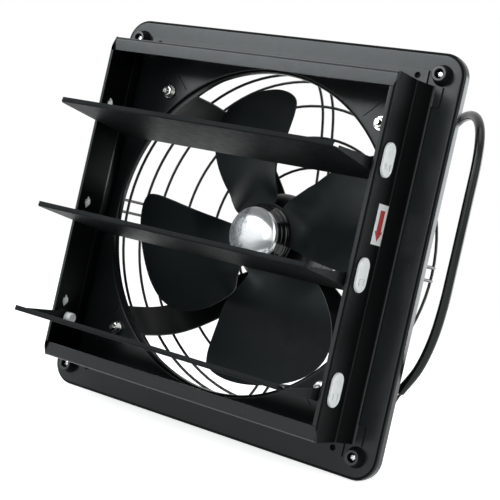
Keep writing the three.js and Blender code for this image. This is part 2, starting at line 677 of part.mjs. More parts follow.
// ---------- rotor: shaft, core, blades, hub ----------
const discFront = bladePlane - bladeSheet;
const collarFront = discFront - seat - collarLength;
const capBack = collarFront - seat;
put('rotor_shaft', solid(turned([
  [0, capBack + 2], [shaftRadius - 0.6, capBack + 2], [shaftRadius, capBack + 2.6],
  [shaftRadius, motorBack - motorWall - 1], [0, motorBack - motorWall - 1],
], 20)), brightSteel());
put('rotor_core', solid(turned([
  [shaftRadius + seat, statorFront], [statorBore - airGap, statorFront],
  [statorBore - airGap, statorFront + statorLength], [shaftRadius + seat, statorFront + statorLength],
], turnSteps)), lamination());

// Outer edge of a blade: radius against degrees behind its front edge.
const bladeOutline = new THREE.SplineCurve([
  [0, 0.7], [0.5, 0.86], [3, 0.945], [12, 0.99], [27, 1], [40, 0.995], [49, 0.955], [56, 0.87], [62, 0.74],
  [67.5, 0.58], [72, 0.43],
].map(([angle, share]) => new THREE.Vector2(angle, share)));
function bladeSheetGeometry() {
  const [across, out] = [12, 5];
  const level = (angle, radius) => {
    const ramp = THREE.MathUtils.smoothstep(radius, discRadius + 2, bladeRadius * 0.52);
    const share = angle / 66 - 0.5;
    const bow = 3 * (1 - 4 * share * share);
    return bladePlane - bladeSheet / 2 + ramp * (share * (bladeForward + bladeAft) + (bladeAft - bladeForward) / 2 + bow);
  };
  const grid = [];
  for (let side = 0; side < 2; side += 1) {
    for (let i = 0; i <= across; i += 1) {
      const mark = bladeOutline.getPointAt(i / across);
      const edge = mark.y * bladeRadius;
      for (let j = 0; j <= out; j += 1) {
        const radius = j === 0 ? bladeRoot : discRadius + 1.5 + ((edge - discRadius - 1.5) * (j - 1)) / (out - 1);
        const [x, z] = onCircle(radius, bladeStart + mark.x);
        grid.push(x, level(mark.x, radius) + (side ? 0.5 : -0.5) * bladeSheet, z);
      }
    }
  }
  const row = out + 1;
  const sheetPoints = (across + 1) * row;
  const index = [];
  const quad = (a, b, c, d) => index.push(a, b, c, a, c, d);
  for (let i = 0; i < across; i += 1) {
    for (let j = 0; j < out; j += 1) {
      const [a, b, c, d] = [i * row + j, (i + 1) * row + j, (i + 1) * row + j + 1, i * row + j + 1];
      quad(a, b, c, d);
      quad(sheetPoints + a, sheetPoints + d, sheetPoints + c, sheetPoints + b);
    }
  }
  const rim = [];
  for (let i = 0; i < across; i += 1) rim.push(i * row);
  for (let j = 0; j < out; j += 1) rim.push(across * row + j);
  for (let i = across; i > 0; i -= 1) rim.push(i * row + out);
  for (let j = out; j > 0; j -= 1) rim.push(j);
  rim.forEach((a, k) => {
    const b = rim[(k + 1) % rim.length];
    quad(b, a, sheetPoints + a, sheetPoints + b);
  });
  const geometry = new THREE.BufferGeometry();
  geometry.setAttribute('position', new THREE.Float32BufferAttribute(grid, 3));
  geometry.setIndex(index);
  return geometry;
}
function fanBlade() {
  const blade = solid(bladeSheetGeometry());
  const blades = Array.from({ length: bladeCount }, (_, k) => blade.rotate([0, -(360 * k) / bladeCount, 0]));
  const disc = solid(turned([
    [shaftRadius + seat, discFront], [discRadius - 0.6, discFront], [discRadius, discFront + 0.5],
    [discRadius, bladePlane + 0.5], [shaftRadius + seat, bladePlane + 0.5],
  ], 24));
  return cut(join(disc, ...blades), barY(shaftRadius + seat, 0, motorFront, 0, 0, 16));
}
put('fan_blade', fanBlade(), bladeBlack());

put('hub_collar', solid(turned([
  [shaftRadius + seat, collarFront], [capRadius - 0.5, collarFront], [capRadius + 0.3, collarFront + 0.8],
  [collarRadius - 1, discFront - seat - 3], [collarRadius, discFront - seat - 1.6],
  [collarRadius, discFront - seat], [shaftRadius + seat, discFront - seat],
], turnSteps)), bladeBlack());

// Hollow cap: a shallow crown, a rounded shoulder and a straight skirt.
function hubCap() {
  const wall = 1;
  const shoulder = capBack - capSkirt;
  const crown = (radius, height, front, steps) => Array.from({ length: steps + 1 }, (_, i) => {
    const share = i / steps;
    return [radius * share, front + height * share * share];
  });
  const outer = crown(capRadius - 1, capDome - 0.7, shoulder - capDome, 5);
  const inner = crown(capRadius - 2.2, capDome - 1.1, shoulder - capDome + wall, 3).reverse();
  return turned([
    ...outer, [capRadius - 0.2, shoulder], [capRadius, shoulder + 0.7], [capRadius, capBack],
    [capRadius - wall, capBack], [capRadius - wall, shoulder + 0.9], ...inner,
  ], turnSteps);
}
put('hub_cap', solid(hubCap()), chrome());

// ---------- mains cord: motor gland, hanging cord, bare cord end ----------
function cordGland() {
  return solid(turned([
    [cordRadius + seat, motorRadius - 1.6], [glandNeck, motorRadius - 1.6], [glandNeck, motorRadius + seat],
    [glandNeck + 1.6, motorRadius + seat], [glandNeck + 1.6, motorRadius + 2.6], [glandNeck + 0.6, motorRadius + 4],
    [cordRadius + 1.1, motorRadius + glandLength], [cordRadius + seat, motorRadius + glandLength],
  ], 12));
}
put('cord_gland', outward(cordGland()), rubber());

const leave = (distance) => {
  const [x, z] = onCircle(distance, cordAngle);
  return [x, cordDepth, z];
};
const cordRoute = [
  leave(motorRadius - 1), leave(motorRadius + 16), leave(motorRadius + 34),
  [87.5, 89, 47.5], [103, 86.5, 58], [114, 83.5, 72], [120.5, 81, 89], [125.5, 77.5, 106], [134, 70.5, 120],
  [146, 59.5, 128.5], [159.5, 46, 131], [172.5, 31.5, 127.5], [183, 18.5, 118], [189.5, 10, 104],
  [192.5, 6, 87], [193, 5, 62], [193, 5, 34], [192.5, 6, 6], [191, 8.5, -22], [186.5, 13, -49],
  [178, 18, -74], [165, 23, -95],
];
put('power_cord', solid(tube(cordRoute, cordRadius, 8, 40)), jacket());

// Two covered leads leave the square-cut end of the jacket on one stub of filler.
function cordLeads() {
  const end = new THREE.Vector3(...cordRoute[cordRoute.length - 1]);
  const way = end.clone().sub(new THREE.Vector3(...cordRoute[cordRoute.length - 2])).normalize();
  const aside = new THREE.Vector3().crossVectors(way, Y).normalize();
  const at = (distance, offset) => end.clone().addScaledVector(way, distance).addScaledVector(aside, offset).toArray();
  const stub = solid(tube([at(seat, 0), at(seat + 1.2, 0)], cordRadius - 0.8, 8, 1));
  const leads = [-1, 1].map((side) => solid(tube([
    at(seat + 0.4, side * 1.5), at(6, side * 1.6), at(leadLength / 2, side * 2.4), at(leadLength, side * 3.4),
  ], leadRadius, 6, 6)));
  return join(stub, ...leads);
}
put('cord_leads', cordLeads(), leadCover());

export default fan;
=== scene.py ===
"""A shuttered window exhaust fan, built around its CAD frame.

Blender works in metres. The makers here take millimetres in the frame of the CAD model:
the fan axis is Y, the shutter faces -Y, and Y = 0 is the front face of the mounting flange.
"""

import math

import bmesh
import bpy
from mathutils import Matrix, Vector


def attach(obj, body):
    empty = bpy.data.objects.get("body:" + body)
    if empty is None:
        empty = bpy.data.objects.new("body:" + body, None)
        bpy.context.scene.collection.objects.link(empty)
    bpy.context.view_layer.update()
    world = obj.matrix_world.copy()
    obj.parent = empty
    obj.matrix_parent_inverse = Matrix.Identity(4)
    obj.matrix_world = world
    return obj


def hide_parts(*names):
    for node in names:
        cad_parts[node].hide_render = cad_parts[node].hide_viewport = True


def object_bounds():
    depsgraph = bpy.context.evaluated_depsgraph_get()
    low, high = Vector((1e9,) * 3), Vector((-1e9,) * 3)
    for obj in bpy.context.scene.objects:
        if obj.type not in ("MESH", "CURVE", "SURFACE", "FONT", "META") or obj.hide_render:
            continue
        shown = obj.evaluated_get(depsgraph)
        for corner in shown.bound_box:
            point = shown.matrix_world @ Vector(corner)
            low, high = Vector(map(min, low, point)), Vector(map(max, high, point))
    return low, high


bl_info = {
    "name": "Window Exhaust Fan",
    "version": (1, 0, 0),
    "blender": (4, 5, 0),
    "location": "3D View > Sidebar > Fan",
    "description": "Builds the visible pieces of a shuttered exhaust fan around its CAD frame",
    "category": "Add Mesh",
}

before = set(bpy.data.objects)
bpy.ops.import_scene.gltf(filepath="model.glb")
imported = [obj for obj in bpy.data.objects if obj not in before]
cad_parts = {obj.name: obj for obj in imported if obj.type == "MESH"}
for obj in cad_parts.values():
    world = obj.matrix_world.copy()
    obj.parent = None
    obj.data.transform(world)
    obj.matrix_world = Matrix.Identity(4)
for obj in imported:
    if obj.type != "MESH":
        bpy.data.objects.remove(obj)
CAD_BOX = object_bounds()
MM = 0.001
CORNERS = ((1, 1), (-1, 1), (-1, -1), (1, -1))      # x and z signs, counter-clockwise from top right
ARM_DIRECTIONS = (45, 135, 225, 315)


# ---------- sizes and colours a user would change ----------
class FanSizes(bpy.types.PropertyGroup):
    flange: bpy.props.FloatProperty(
        name="Flange", description="Width of the square mounting flange", default=0.340, unit="LENGTH")
    flange_corner: bpy.props.FloatProperty(
        name="Flange Corner", description="Corner radius of the flange", default=0.020, unit="LENGTH")
    rim_depth: bpy.props.FloatProperty(
        name="Rim Depth", description="How far the flange edge is turned back", default=0.009, unit="LENGTH")
    rim_round: bpy.props.FloatProperty(
        name="Rim Round", description="Radius of the rolled flange edge", default=0.0035, unit="LENGTH")
    ring: bpy.props.FloatProperty(
        name="Air Ring", description="Throat radius of the drawn air ring", default=0.137, unit="LENGTH")
    ring_round: bpy.props.FloatProperty(
        name="Ring Round", description="Radius of the ring's mouth", default=0.003, unit="LENGTH")
    ring_depth: bpy.props.FloatProperty(
        name="Ring Depth", description="Depth of the ring's collar", default=0.007, unit="LENGTH")
    sheet: bpy.props.FloatProperty(
        name="Sheet", description="Thickness of the panel and channels", default=0.0012, unit="LENGTH")
    seat: bpy.props.FloatProperty(
        name="Seat", description="Gap between pieces that rest on each other", default=0.0003, unit="LENGTH")
    box_width: bpy.props.FloatProperty(
        name="Box Width", description="Shutter box over its side channels", default=0.282, unit="LENGTH")
    box_height: bpy.props.FloatProperty(
        name="Box Height", description="Height of the shutter box", default=0.285, unit="LENGTH")
    box_depth: bpy.props.FloatProperty(
        name="Box Depth", description="Flange face to the top and bottom lips", default=0.050, unit="LENGTH")
    side_reach: bpy.props.FloatProperty(
        name="Side Reach", description="Side channels in front of the lips", default=0.0036, unit="LENGTH")
    pivot_top: bpy.props.FloatProperty(
        name="Top Pivot", description="Height of the top louvre's pivot", default=0.0705, unit="LENGTH")
    pivot_pitch: bpy.props.FloatProperty(
        name="Pivot Pitch", description="Height between two louvres", default=0.0886, unit="LENGTH")
    pivot_depth: bpy.props.FloatProperty(
        name="Pivot Depth", description="Pivot line in front of the flange", default=0.040, unit="LENGTH")
    louvre_half: bpy.props.FloatProperty(
        name="Louvre Half Width", description="Half the width of a louvre", default=0.1345, unit="LENGTH")
    louvre_reach: bpy.props.FloatProperty(
        name="Louvre Reach", description="Pivot line to the free edge", default=0.067, unit="LENGTH")
    louvre_tail: bpy.props.FloatProperty(
        name="Louvre Tail", description="Pivot line to the inner edge", default=0.029, unit="LENGTH")
    louvre_tilt: bpy.props.FloatProperty(
        name="Louvre Tilt", description="Slope of an open louvre", default=math.radians(7), subtype="ANGLE")
    bumper_inset: bpy.props.FloatProperty(
        name="Bumper Inset", description="Bumper centre from the flange edge", default=0.0185, unit="LENGTH")
    arm_bolt_circle: bpy.props.FloatProperty(
        name="Arm Bolt Circle", description="Radius that the arm bolts lie on", default=0.1526, unit="LENGTH")
    arm_width: bpy.props.FloatProperty(
        name="Arm Width", description="Width of a motor strap", default=0.030, unit="LENGTH")
    arm_sheet: bpy.props.FloatProperty(
        name="Arm Sheet", description="Thickness of a motor strap", default=0.002, unit="LENGTH")
    guard_wire: bpy.props.FloatProperty(
        name="Guard Wire", description="Diameter of the guard's wire", default=0.0026, unit="LENGTH")
    guard_radius: bpy.props.FloatProperty(
        name="Guard Radius", description="Radius of the guard's straight side", default=0.148, unit="LENGTH")
    guard_shoulder: bpy.props.FloatProperty(
        name="Guard Shoulder", description="Depth where the dished back begins", default=0.073, unit="LENGTH")
    guard_depth: bpy.props.FloatProperty(
        name="Guard Depth", description="Depth of the dished back at its middle", default=0.1153, unit="LENGTH")
    motor_radius: bpy.props.FloatProperty(
        name="Motor Radius", description="Radius of the motor shells", default=0.042, unit="LENGTH")
    motor_front: bpy.props.FloatProperty(
        name="Motor Front", description="Front of the motor", default=0.0525, unit="LENGTH")
    motor_seam: bpy.props.FloatProperty(
        name="Motor Seam", description="Where the two motor shells meet", default=0.077, unit="LENGTH")
    motor_back: bpy.props.FloatProperty(
        name="Motor Back", description="Back of the motor", default=0.1005, unit="LENGTH")
    motor_bolts: bpy.props.FloatProperty(
        name="Motor Bolt Circle", description="Radius that the motor bolts lie on", default=0.0356, unit="LENGTH")
    blade_radius: bpy.props.FloatProperty(
        name="Blade Radius", description="Radius of the paddles", default=0.1285, unit="LENGTH")
    blade_start: bpy.props.FloatProperty(
        name="Blade Start", description="Direction of one paddle's front edge", default=math.radians(81),
        subtype="ANGLE")
    disc_radius: bpy.props.FloatProperty(
        name="Disc Radius", description="Radius of the paddles' disc", default=0.030, unit="LENGTH")
    collar_radius: bpy.props.FloatProperty(
        name="Collar Radius", description="Widest radius of the hub collar", default=0.0288, unit="LENGTH")
    collar_length: bpy.props.FloatProperty(
        name="Collar Length", description="Length of the hub collar", default=0.0124, unit="LENGTH")
    cap_radius: bpy.props.FloatProperty(
        name="Cap Radius", description="Radius of the hub cap", default=0.024, unit="LENGTH")
    cap_skirt: bpy.props.FloatProperty(
        name="Cap Skirt", description="Straight side of the hub cap", default=0.0025, unit="LENGTH")
    cap_dome: bpy.props.FloatProperty(
        name="Cap Crown", description="Height of the hub cap's crown", default=0.006, unit="LENGTH")
    cord: bpy.props.FloatProperty(
        name="Cord", description="Diameter of the supply cord", default=0.0076, unit="LENGTH")
    cord_depth: bpy.props.FloatProperty(
        name="Cord Depth", description="Where the cord leaves the motor, along the axis", default=0.091,
        unit="LENGTH")
    cord_angle: bpy.props.FloatProperty(
        name="Cord Angle", description="Direction in which the cord leaves the motor",
        default=math.radians(28), subtype="ANGLE")


class FanColours(bpy.types.PropertyGroup):
    panel: bpy.props.FloatVectorProperty(
        name="Panel", description="Powder coat of the flange and box", default=(0.0110, 0.0132, 0.0140),
        size=3, min=0, max=1, subtype="COLOR")
    # Painted shade: a darker copy of the panel's coat, for the side walls, the rolled flange edge and the shallow
    # pockets.
    shade: bpy.props.FloatVectorProperty(
        name="Painted Shade Black", description="Dull coat of the side walls and the rolled edge",
        default=(0.0016, 0.0019, 0.0020), size=3, min=0, max=1, subtype="COLOR")
    louvre: bpy.props.FloatVectorProperty(
        name="Louvres", description="Coated sheet of the louvres", default=(0.0085, 0.0097, 0.0101),
        size=3, min=0, max=1, subtype="COLOR")
    blade: bpy.props.FloatVectorProperty(
        name="Blade", description="Satin paint of the paddles", default=(0.0092, 0.0122, 0.0128),
        size=3, min=0, max=1, subtype="COLOR")
    arm: bpy.props.FloatVectorProperty(
        name="Arms", description="Coat of the motor straps", default=(0.0055, 0.0063, 0.0068),
        size=3, min=0, max=1, subtype="COLOR")
    guard: bpy.props.FloatVectorProperty(
        name="Guard", description="Enamel of the wire guard", default=(0.0060, 0.0060, 0.0065),
        size=3, min=0, max=1, subtype="COLOR")
    motor: bpy.props.FloatVectorProperty(
        name="Motor", description="Paint of the motor shells", default=(0.0100, 0.0105, 0.0115),
        size=3, min=0, max=1, subtype="COLOR")
    collar: bpy.props.FloatVectorProperty(
        name="Collar", description="Gloss paint of the hub collar", default=(0.0050, 0.0050, 0.0055),
        size=3, min=0, max=1, subtype="COLOR")
    nylon: bpy.props.FloatVectorProperty(
        name="Nylon", description="Bushes and pins", default=(0.84, 0.85, 0.84),
        size=3, min=0, max=1, subtype="COLOR")
    rubber: bpy.props.FloatVectorProperty(
        name="Rubber", description="Bumpers and cord sleeve", default=(0.0045, 0.0050, 0.0052),
        size=3, min=0, max=1, subtype="COLOR")
    jacket: bpy.props.FloatVectorProperty(
        name="Jacket", description="Jacket of the supply cord", default=(0.0030, 0.0036, 0.0038),
        size=3, min=0, max=1, subtype="COLOR")
    leads: bpy.props.FloatVectorProperty(
        name="Leads", description="Covers of the two cord leads", default=(0.060, 0.030, 0.022),
        size=3, min=0, max=1, subtype="COLOR")
    arrow: bpy.props.FloatVectorProperty(
        name="Arrow", description="Plain arrow on the side label", default=(0.42, 0.020, 0.018),
        size=3, min=0, max=1, subtype="COLOR")


class Lengths:
    """The sizes in millimetres, with what follows from them."""

    def __init__(self, context):
        group = context.scene.fan_sizes
        for key, value in group.bl_rna.properties.items():
            if value.type == "FLOAT":
                angle = value.subtype == "ANGLE"
                setattr(self, key, math.degrees(getattr(group, key)) if angle else getattr(group, key) / MM)
        self.half_width = self.box_width / 2
        self.half_height = self.box_height / 2
        self.side_inside = self.half_width - self.sheet
        self.pivots = [self.pivot_top - i * self.pivot_pitch for i in range(3)]
        self.bumper = self.flange / 2 - self.bumper_inset
        self.arm_bolt = self.arm_bolt_circle * math.sqrt(0.5)
        self.arm_foot = self.sheet + self.seat
        self.tab_front = self.arm_foot + self.arm_sheet + self.seat
        self.head_front = self.tab_front + 1.5 + self.seat
        self.arm_stand = self.ring + self.sheet + self.arm_sheet / 2 + self.seat
        self.blade_plane = 35.0
        self.disc_front = self.blade_plane - 1.5
        self.collar_front = self.disc_front - self.seat - self.collar_length
        self.cap_back = self.collar_front - self.seat


# ---------- modelling by hand, in code ----------
def put_down():
    """Leaves edit mode and deselects everything, the CAD nodes too."""
    if bpy.context.object and bpy.context.object.mode != "OBJECT":
        bpy.ops.object.mode_set(mode="OBJECT")
    bpy.ops.object.select_all(action="DESELECT")


def take(piece):
    """Makes one piece the only selected and active one."""
    put_down()
    piece.select_set(True)
    bpy.context.view_layer.objects.active = piece
    return piece


def rework(piece):
    """Opens one piece in edit mode, by its corners."""
    take(piece)
    bpy.ops.object.mode_set(mode="EDIT")
    bpy.ops.mesh.select_mode(type="VERT")


def named(name):
    """Names the new active piece and puts its place into its mesh."""
    piece = bpy.context.object
    piece.name = piece.data.name = name
    bpy.ops.object.transform_apply(location=True, rotation=True, scale=True)
    return piece


def choose(test, kind="VERT"):
    """In edit mode, selects the corners, edges or faces whose points all pass a test of their place in mm."""
    bpy.ops.mesh.select_mode(type=kind)
    bpy.ops.mesh.select_all(action="DESELECT")
    mesh = bmesh.from_edit_mesh(bpy.context.object.data)
    if kind == "VERT":
        chosen = [v for v in mesh.verts if test(v.co / MM)]
    else:
        parts = mesh.edges if kind == "EDGE" else mesh.faces
        chosen = [part for part in parts if all(test(v.co / MM) for v in part.verts)]
    for part in chosen:
        part.select_set(True)
    mesh.select_flush(True)
    bmesh.update_edit_mesh(bpy.context.object.data)
    return len(chosen)


def pull(x, y, z):
    bpy.ops.mesh.extrude_region_move(TRANSFORM_OT_translate={"value": Vector((x, y, z)) * MM})


def widen(x, y, z, about=(0, 0, 0)):
    bpy.ops.transform.resize(value=(x, y, z), center_override=Vector(about) * MM)


def close_up(piece):
    """Merges doubled corners and points the faces outwards."""
    rework(piece)
    bpy.ops.mesh.select_all(action="SELECT")
    bpy.ops.mesh.remove_doubles(threshold=1e-6)
    bpy.ops.mesh.normals_make_consistent(inside=False)
    put_down()


def modified(piece, kind, **settings):
    """Adds one modifier to a piece and applies it."""
    take(piece)
    bpy.ops.object.modifier_add(type=kind)
    modifier = piece.modifiers[-1]
    for key, value in settings.items():
        setattr(modifier, key, value)
    bpy.ops.object.modifier_apply(modifier=modifier.name)
    return piece


def wall(piece, thickness, offset=0.0):
    return modified(piece, "SOLIDIFY", thickness=thickness * MM, offset=offset, use_even_offset=True)


def eased(piece, width, segments=2, angle=40):
    """Rounds the sharp edges of a piece."""
    return modified(piece, "BEVEL", width=width * MM, segments=segments, limit_method="ANGLE",
                    angle_limit=math.radians(angle), harden_normals=False)


def settled(piece, angle=35):
    """Shades a piece smooth, with the shading kept flat on its flats."""
    take(piece)
    bpy.ops.object.shade_smooth_by_angle(angle=math.radians(angle))
    return modified(piece, "WEIGHTED_NORMAL", mode="FACE_AREA_WITH_ANGLE", keep_sharp=True)


def carved(piece, *tools):
    """Cuts the tools out of a piece and throws them away."""
    tool = joined("cutter", *tools)
    modified(piece, "BOOLEAN", object=tool, operation="DIFFERENCE", solver="EXACT")
    bpy.data.objects.remove(tool)
    return piece


def joined(name, *pieces):
    """Makes one piece of several."""
    take(pieces[0])
    for piece in pieces:
        piece.select_set(True)
    if len(pieces) > 1:
        bpy.ops.object.join()
    pieces[0].name = pieces[0].data.name = name
    return pieces[0]


def placed(piece, place):
    """Moves a piece and puts its place back into its mesh."""
    take(piece)
    piece.matrix_world = place
    bpy.ops.object.transform_apply(location=True, rotation=True, scale=True)
    return piece


def copied(piece, name, place=Matrix.Identity(4)):
    """A copy with its own mesh."""
    take(piece)
    bpy.ops.object.duplicate(linked=False)
    twin = bpy.context.object
    twin.name = twin.data.name = name
    return placed(twin, place)


def mirrored(piece, name):
    """A copy on the other side of the fan, its faces turned back outwards."""
    twin = copied(piece, name, Matrix.Diagonal((-1, 1, 1, 1)))
    close_up(twin)
    return twin


def shift(x, y, z):
    return Matrix.Translation(Vector((x, y, z)) * MM)


def swing(degrees, axis):
    return Matrix.Rotation(math.radians(degrees), 4, axis)


def to_side():
    """Takes something made along +Y and lays it along +X."""
    return swing(-90, "Z")


def block(x0, x1, y0, y1, z0, z1):
    """A cutting block."""
    put_down()
    bpy.ops.mesh.primitive_cube_add(
        size=1, location=(Vector((x0 + x1, y0 + y1, z0 + z1)) / 2) * MM,
        scale=(abs(x1 - x0) * MM, abs(y1 - y0) * MM, abs(z1 - z0) * MM))
    return named("block")


def bar(radius, start, end, x=0.0, z=0.0, steps=32):
    """A cutting bar along Y."""
    put_down()
    bpy.ops.mesh.primitive_cylinder_add(
        vertices=steps, radius=radius * MM, depth=(end - start) * MM,
        location=Vector((x, (start + end) / 2, z)) * MM, rotation=(math.pi / 2, 0, 0))
    return named("bar")


def turned(name, profile, steps=64):
    """A piece turned about Y: a circle, extruded and resized to each station (radius, y)."""
    closed_start, closed_end = profile[0][0] == 0, profile[-1][0] == 0
    stations = profile[1 if closed_start else 0:len(profile) - (1 if closed_end else 0)]
    if not (closed_start or closed_end):
        stations = [*stations, stations[0]]
    (radius, y) = stations[0]
    put_down()
    bpy.ops.mesh.primitive_circle_add(
        vertices=steps, radius=radius * MM, fill_type="TRIFAN" if closed_start else "NOTHING",
        location=(0, y * MM, 0), rotation=(math.pi / 2, 0, 0))
    piece = named(name)
    rework(piece)
    if closed_start:
        choose(lambda p: math.hypot(p.x, p.z) < radius / 2)
        bpy.ops.transform.translate(value=(0, (profile[0][1] - y) * MM, 0))
    choose(lambda p: math.hypot(p.x, p.z) > radius / 2)
    for (r0, y0), (r1, y1) in zip(stations, stations[1:]):
        pull(0, y1 - y0, 0)
        widen(r1 / r0, 1, r1 / r0)
    if closed_end:
        pull(0, profile[-1][1] - stations[-1][1], 0)
        bpy.ops.mesh.merge(type="CENTER")
    close_up(piece)
    return piece


def strip(name, path, width, point, across, widths=None):
    """A sheet along a path: a plane for its first stretch, whose end edge is extruded for each later one.

    point() gives the place of a path point, and across is the direction of the sheet's width."""
    places = [Vector(point(*station)) for station in path]
    first, second = places[0], places[1]
    along, side = (second - first).normalized(), Vector(across)
    put_down()
    bpy.ops.mesh.primitive_plane_add(
        size=1, location=(first + second) / 2 * MM,
        rotation=Matrix((along, side, along.cross(side))).transposed().to_euler(),
        scale=(1, 1, 1))
    bpy.context.object.scale = ((second - first).length * MM, width * MM, 1)
    piece = named(name)
    rework(piece)
    stretch = [Vector(1 if abs(v) < 0.5 else ratio for v in side)
               for ratio in ([b / a for a, b in zip(widths, widths[1:])] if widths else [])]
    if widths:
        choose(lambda p: abs((p - first).dot(along)) < 1e-3)
        widen(*[1 if abs(v) < 0.5 else widths[0] / width for v in side], about=first)
        choose(lambda p: abs((p - second).dot(along)) < 1e-3)
        widen(*[1 if abs(v) < 0.5 else widths[1] / width for v in side], about=second)
    choose(lambda p: abs((p - second).dot(along)) < 1e-3)
    for i in range(1, len(places) - 1):
        pull(*(places[i + 1] - places[i]))
        if widths:
            widen(*stretch[i], about=places[i + 1])
    put_down()
    return piece


def bent(piece, bends, radius, segments=5):
    """Rounds the folds of a strip that lie on the given lines, each a test of place."""
    rework(piece)
    for on_fold in bends:
        if choose(on_fold, "EDGE"):
            bpy.ops.mesh.bevel(offset=radius * MM, segments=segments, affect="EDGES")
    put_down()
    return piece


def pushed(name, outline, place, start, length, axis):
    """A flat outline pushed along an axis: a filled circle whose corners go to the outline, then extruded."""
    put_down()
    bpy.ops.mesh.primitive_circle_add(vertices=len(outline), radius=MM, fill_type="NGON")
    piece = named(name)
    rework(piece)
    mesh = bmesh.from_edit_mesh(piece.data)
    mesh.verts.ensure_lookup_table()
    along = Vector(axis)
    for vertex, (u, v) in zip(mesh.verts, outline):
        vertex.co = (Vector(place(u, v)) + along * start) * MM
    bmesh.update_edit_mesh(piece.data)
    bpy.ops.mesh.select_all(action="SELECT")
    pull(*(along * length))
    put_down()
    close_up(piece)
    return piece


def arc(cx, cy, radius, start, end, steps):
    return [(cx + radius * math.cos(math.radians(start + (end - start) * i / steps)),
             cy + radius * math.sin(math.radians(start + (end - start) * i / steps)))
            for i in range(steps + 1)]


def spline(points, steps):
    """An even run of places on a smooth line through the points, where each stretch takes an equal share."""
    last = len(points) - 1
    out = []
    for k in range(steps + 1):
        t = k / steps * last
        i = min(int(t), last - 1)
        w = t - i
        p0, p1, p2, p3 = (Vector(points[j]) for j in (max(i - 1, 0), i, i + 1, min(i + 2, last)))
        v0, v1 = (p2 - p0) / 2, (p3 - p1) / 2
        out.append((2 * p1 - 2 * p2 + v0 + v1) * w ** 3 + (-3 * p1 + 3 * p2 - 2 * v0 - v1) * w ** 2
                   + v0 * w + p1)
    return out


def flowing(points, steps):
    """Places on the smooth line through unevenly spaced points, as the CAD tubes take it."""
    pts = [Vector(p) for p in points]
    before = pts[0] * 2 - pts[1]
    after = pts[-1] * 2 - pts[-2]
    out = []
    for i in range(len(pts) - 1):
        p0 = pts[i - 1] if i else before
        p1, p2 = pts[i], pts[i + 1]
        p3 = pts[i + 2] if i + 2 < len(pts) else after
        d0, d1, d2 = (max((b - a).length ** 0.5, 1e-4) for a, b in ((p0, p1), (p1, p2), (p2, p3)))
        t1 = ((p1 - p0) / d0 - (p2 - p0) / (d0 + d1) + (p2 - p1) / d1) * d1
        t2 = ((p2 - p1) / d1 - (p3 - p1) / (d1 + d2) + (p3 - p2) / d2) * d1
        for k in range(steps):
            w = k / steps
            out.append((2 * w ** 3 - 3 * w ** 2 + 1) * p1 + (w ** 3 - 2 * w ** 2 + w) * t1
                       + (-2 * w ** 3 + 3 * w ** 2) * p2 + (w ** 3 - w ** 2) * t2)
    out.append(pts[-1])
    return out


def wire(name, places, radius, sides=3, keep_curve=False):
    """A round wire along places, drawn as a curve and, unless it stays one, made a mesh."""
    curve = bpy.data.curves.new(name, "CURVE")
    curve.dimensions = "3D"
    curve.bevel_depth = radius * MM
    curve.bevel_resolution = sides
    curve.use_fill_caps = True
    line = curve.splines.new("POLY")
    line.points.add(len(places) - 1)
    for point, place in zip(line.points, places):
        point.co = (*(Vector(place) * MM), 1)
    line.use_smooth = True
    piece = bpy.data.objects.new(name, curve)
    bpy.context.scene.collection.objects.link(piece)
    if not keep_curve:
        take(piece)
        bpy.ops.object.convert(target="MESH")
        piece = bpy.context.object
        close_up(piece)
    return piece


def hoop(name, radius, y, wire_radius):
    """One ring of the guard: a curve circle with a round section, made a mesh."""
    put_down()
    bpy.ops.curve.primitive_bezier_circle_add(
        radius=radius * MM, location=(0, y * MM, 0), rotation=(math.pi / 2, 0, 0))
    ring = bpy.context.object
    ring.data.resolution_u = 24 if radius > 90 else 14
    ring.data.bevel_depth = wire_radius * MM
    ring.data.bevel_resolution = 3
    bpy.ops.object.convert(target="MESH")
    ring = named(name)
    close_up(ring)
    return ring


def hexagon(name, across, start, end, chamfer=0.5):
    """A hexagonal head or nut with chamfered corners, along Y."""
    radius = across / math.sqrt(3)
    put_down()
    bpy.ops.mesh.primitive_circle_add(
        vertices=6, radius=radius * MM, fill_type="NGON", location=(0, start * MM, 0),
        rotation=(math.pi / 2, 0, 0))
    piece = named(name)
    rework(piece)
    bpy.ops.mesh.select_all(action="SELECT")
    pull(0, end - start, 0)
    close_up(piece)
    cone = turned("chamfer", [
        (0, start), (radius - chamfer * 1.6, start), (radius + 0.05, start + chamfer),
        (radius + 0.05, end - chamfer), (radius - chamfer * 1.6, end), (0, end)], 48)
    modified(piece, "BOOLEAN", object=cone, operation="INTERSECT", solver="EXACT")
    bpy.data.objects.remove(cone)
    return piece


def fitted(piece, body, slot, finish, *nodes, angle=35):
    """Finishes a piece: its shading, material, body and the CAD nodes that it stands for. The slot is not used."""
    if piece.type == "MESH":
        settled(piece, angle)
    piece.data.materials.clear()
    piece.data.materials.append(finish)
    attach(piece, body)
    if nodes:
        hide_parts(*nodes)
    put_down()
    return piece


def second_finish(piece, finish, test):
    """Gives a second finish to the faces whose middle, in mm, and direction pass a test."""
    piece.data.materials.append(finish)
    last = len(piece.data.materials) - 1
    for face in piece.data.polygons:
        if test(face.center / MM, face.normal):
            face.material_index = last


# ---------- finishes ----------
def shader(name, colour, roughness, **sockets):
    """A new finish, with its plain values on the shader's own sockets."""
    finish = bpy.data.materials.get(name)
    if finish:
        return finish, None
    finish = bpy.data.materials.new(name)
    finish.use_nodes = True
    surface = finish.node_tree.nodes["Principled BSDF"]
    surface.inputs["Base Color"].default_value = (*colour, 1)
    surface.inputs["Roughness"].default_value = roughness
    for key, value in sockets.items():
        surface.inputs[key.replace("_", " ").title().replace("Ior", "IOR")].default_value = value
    return finish, surface


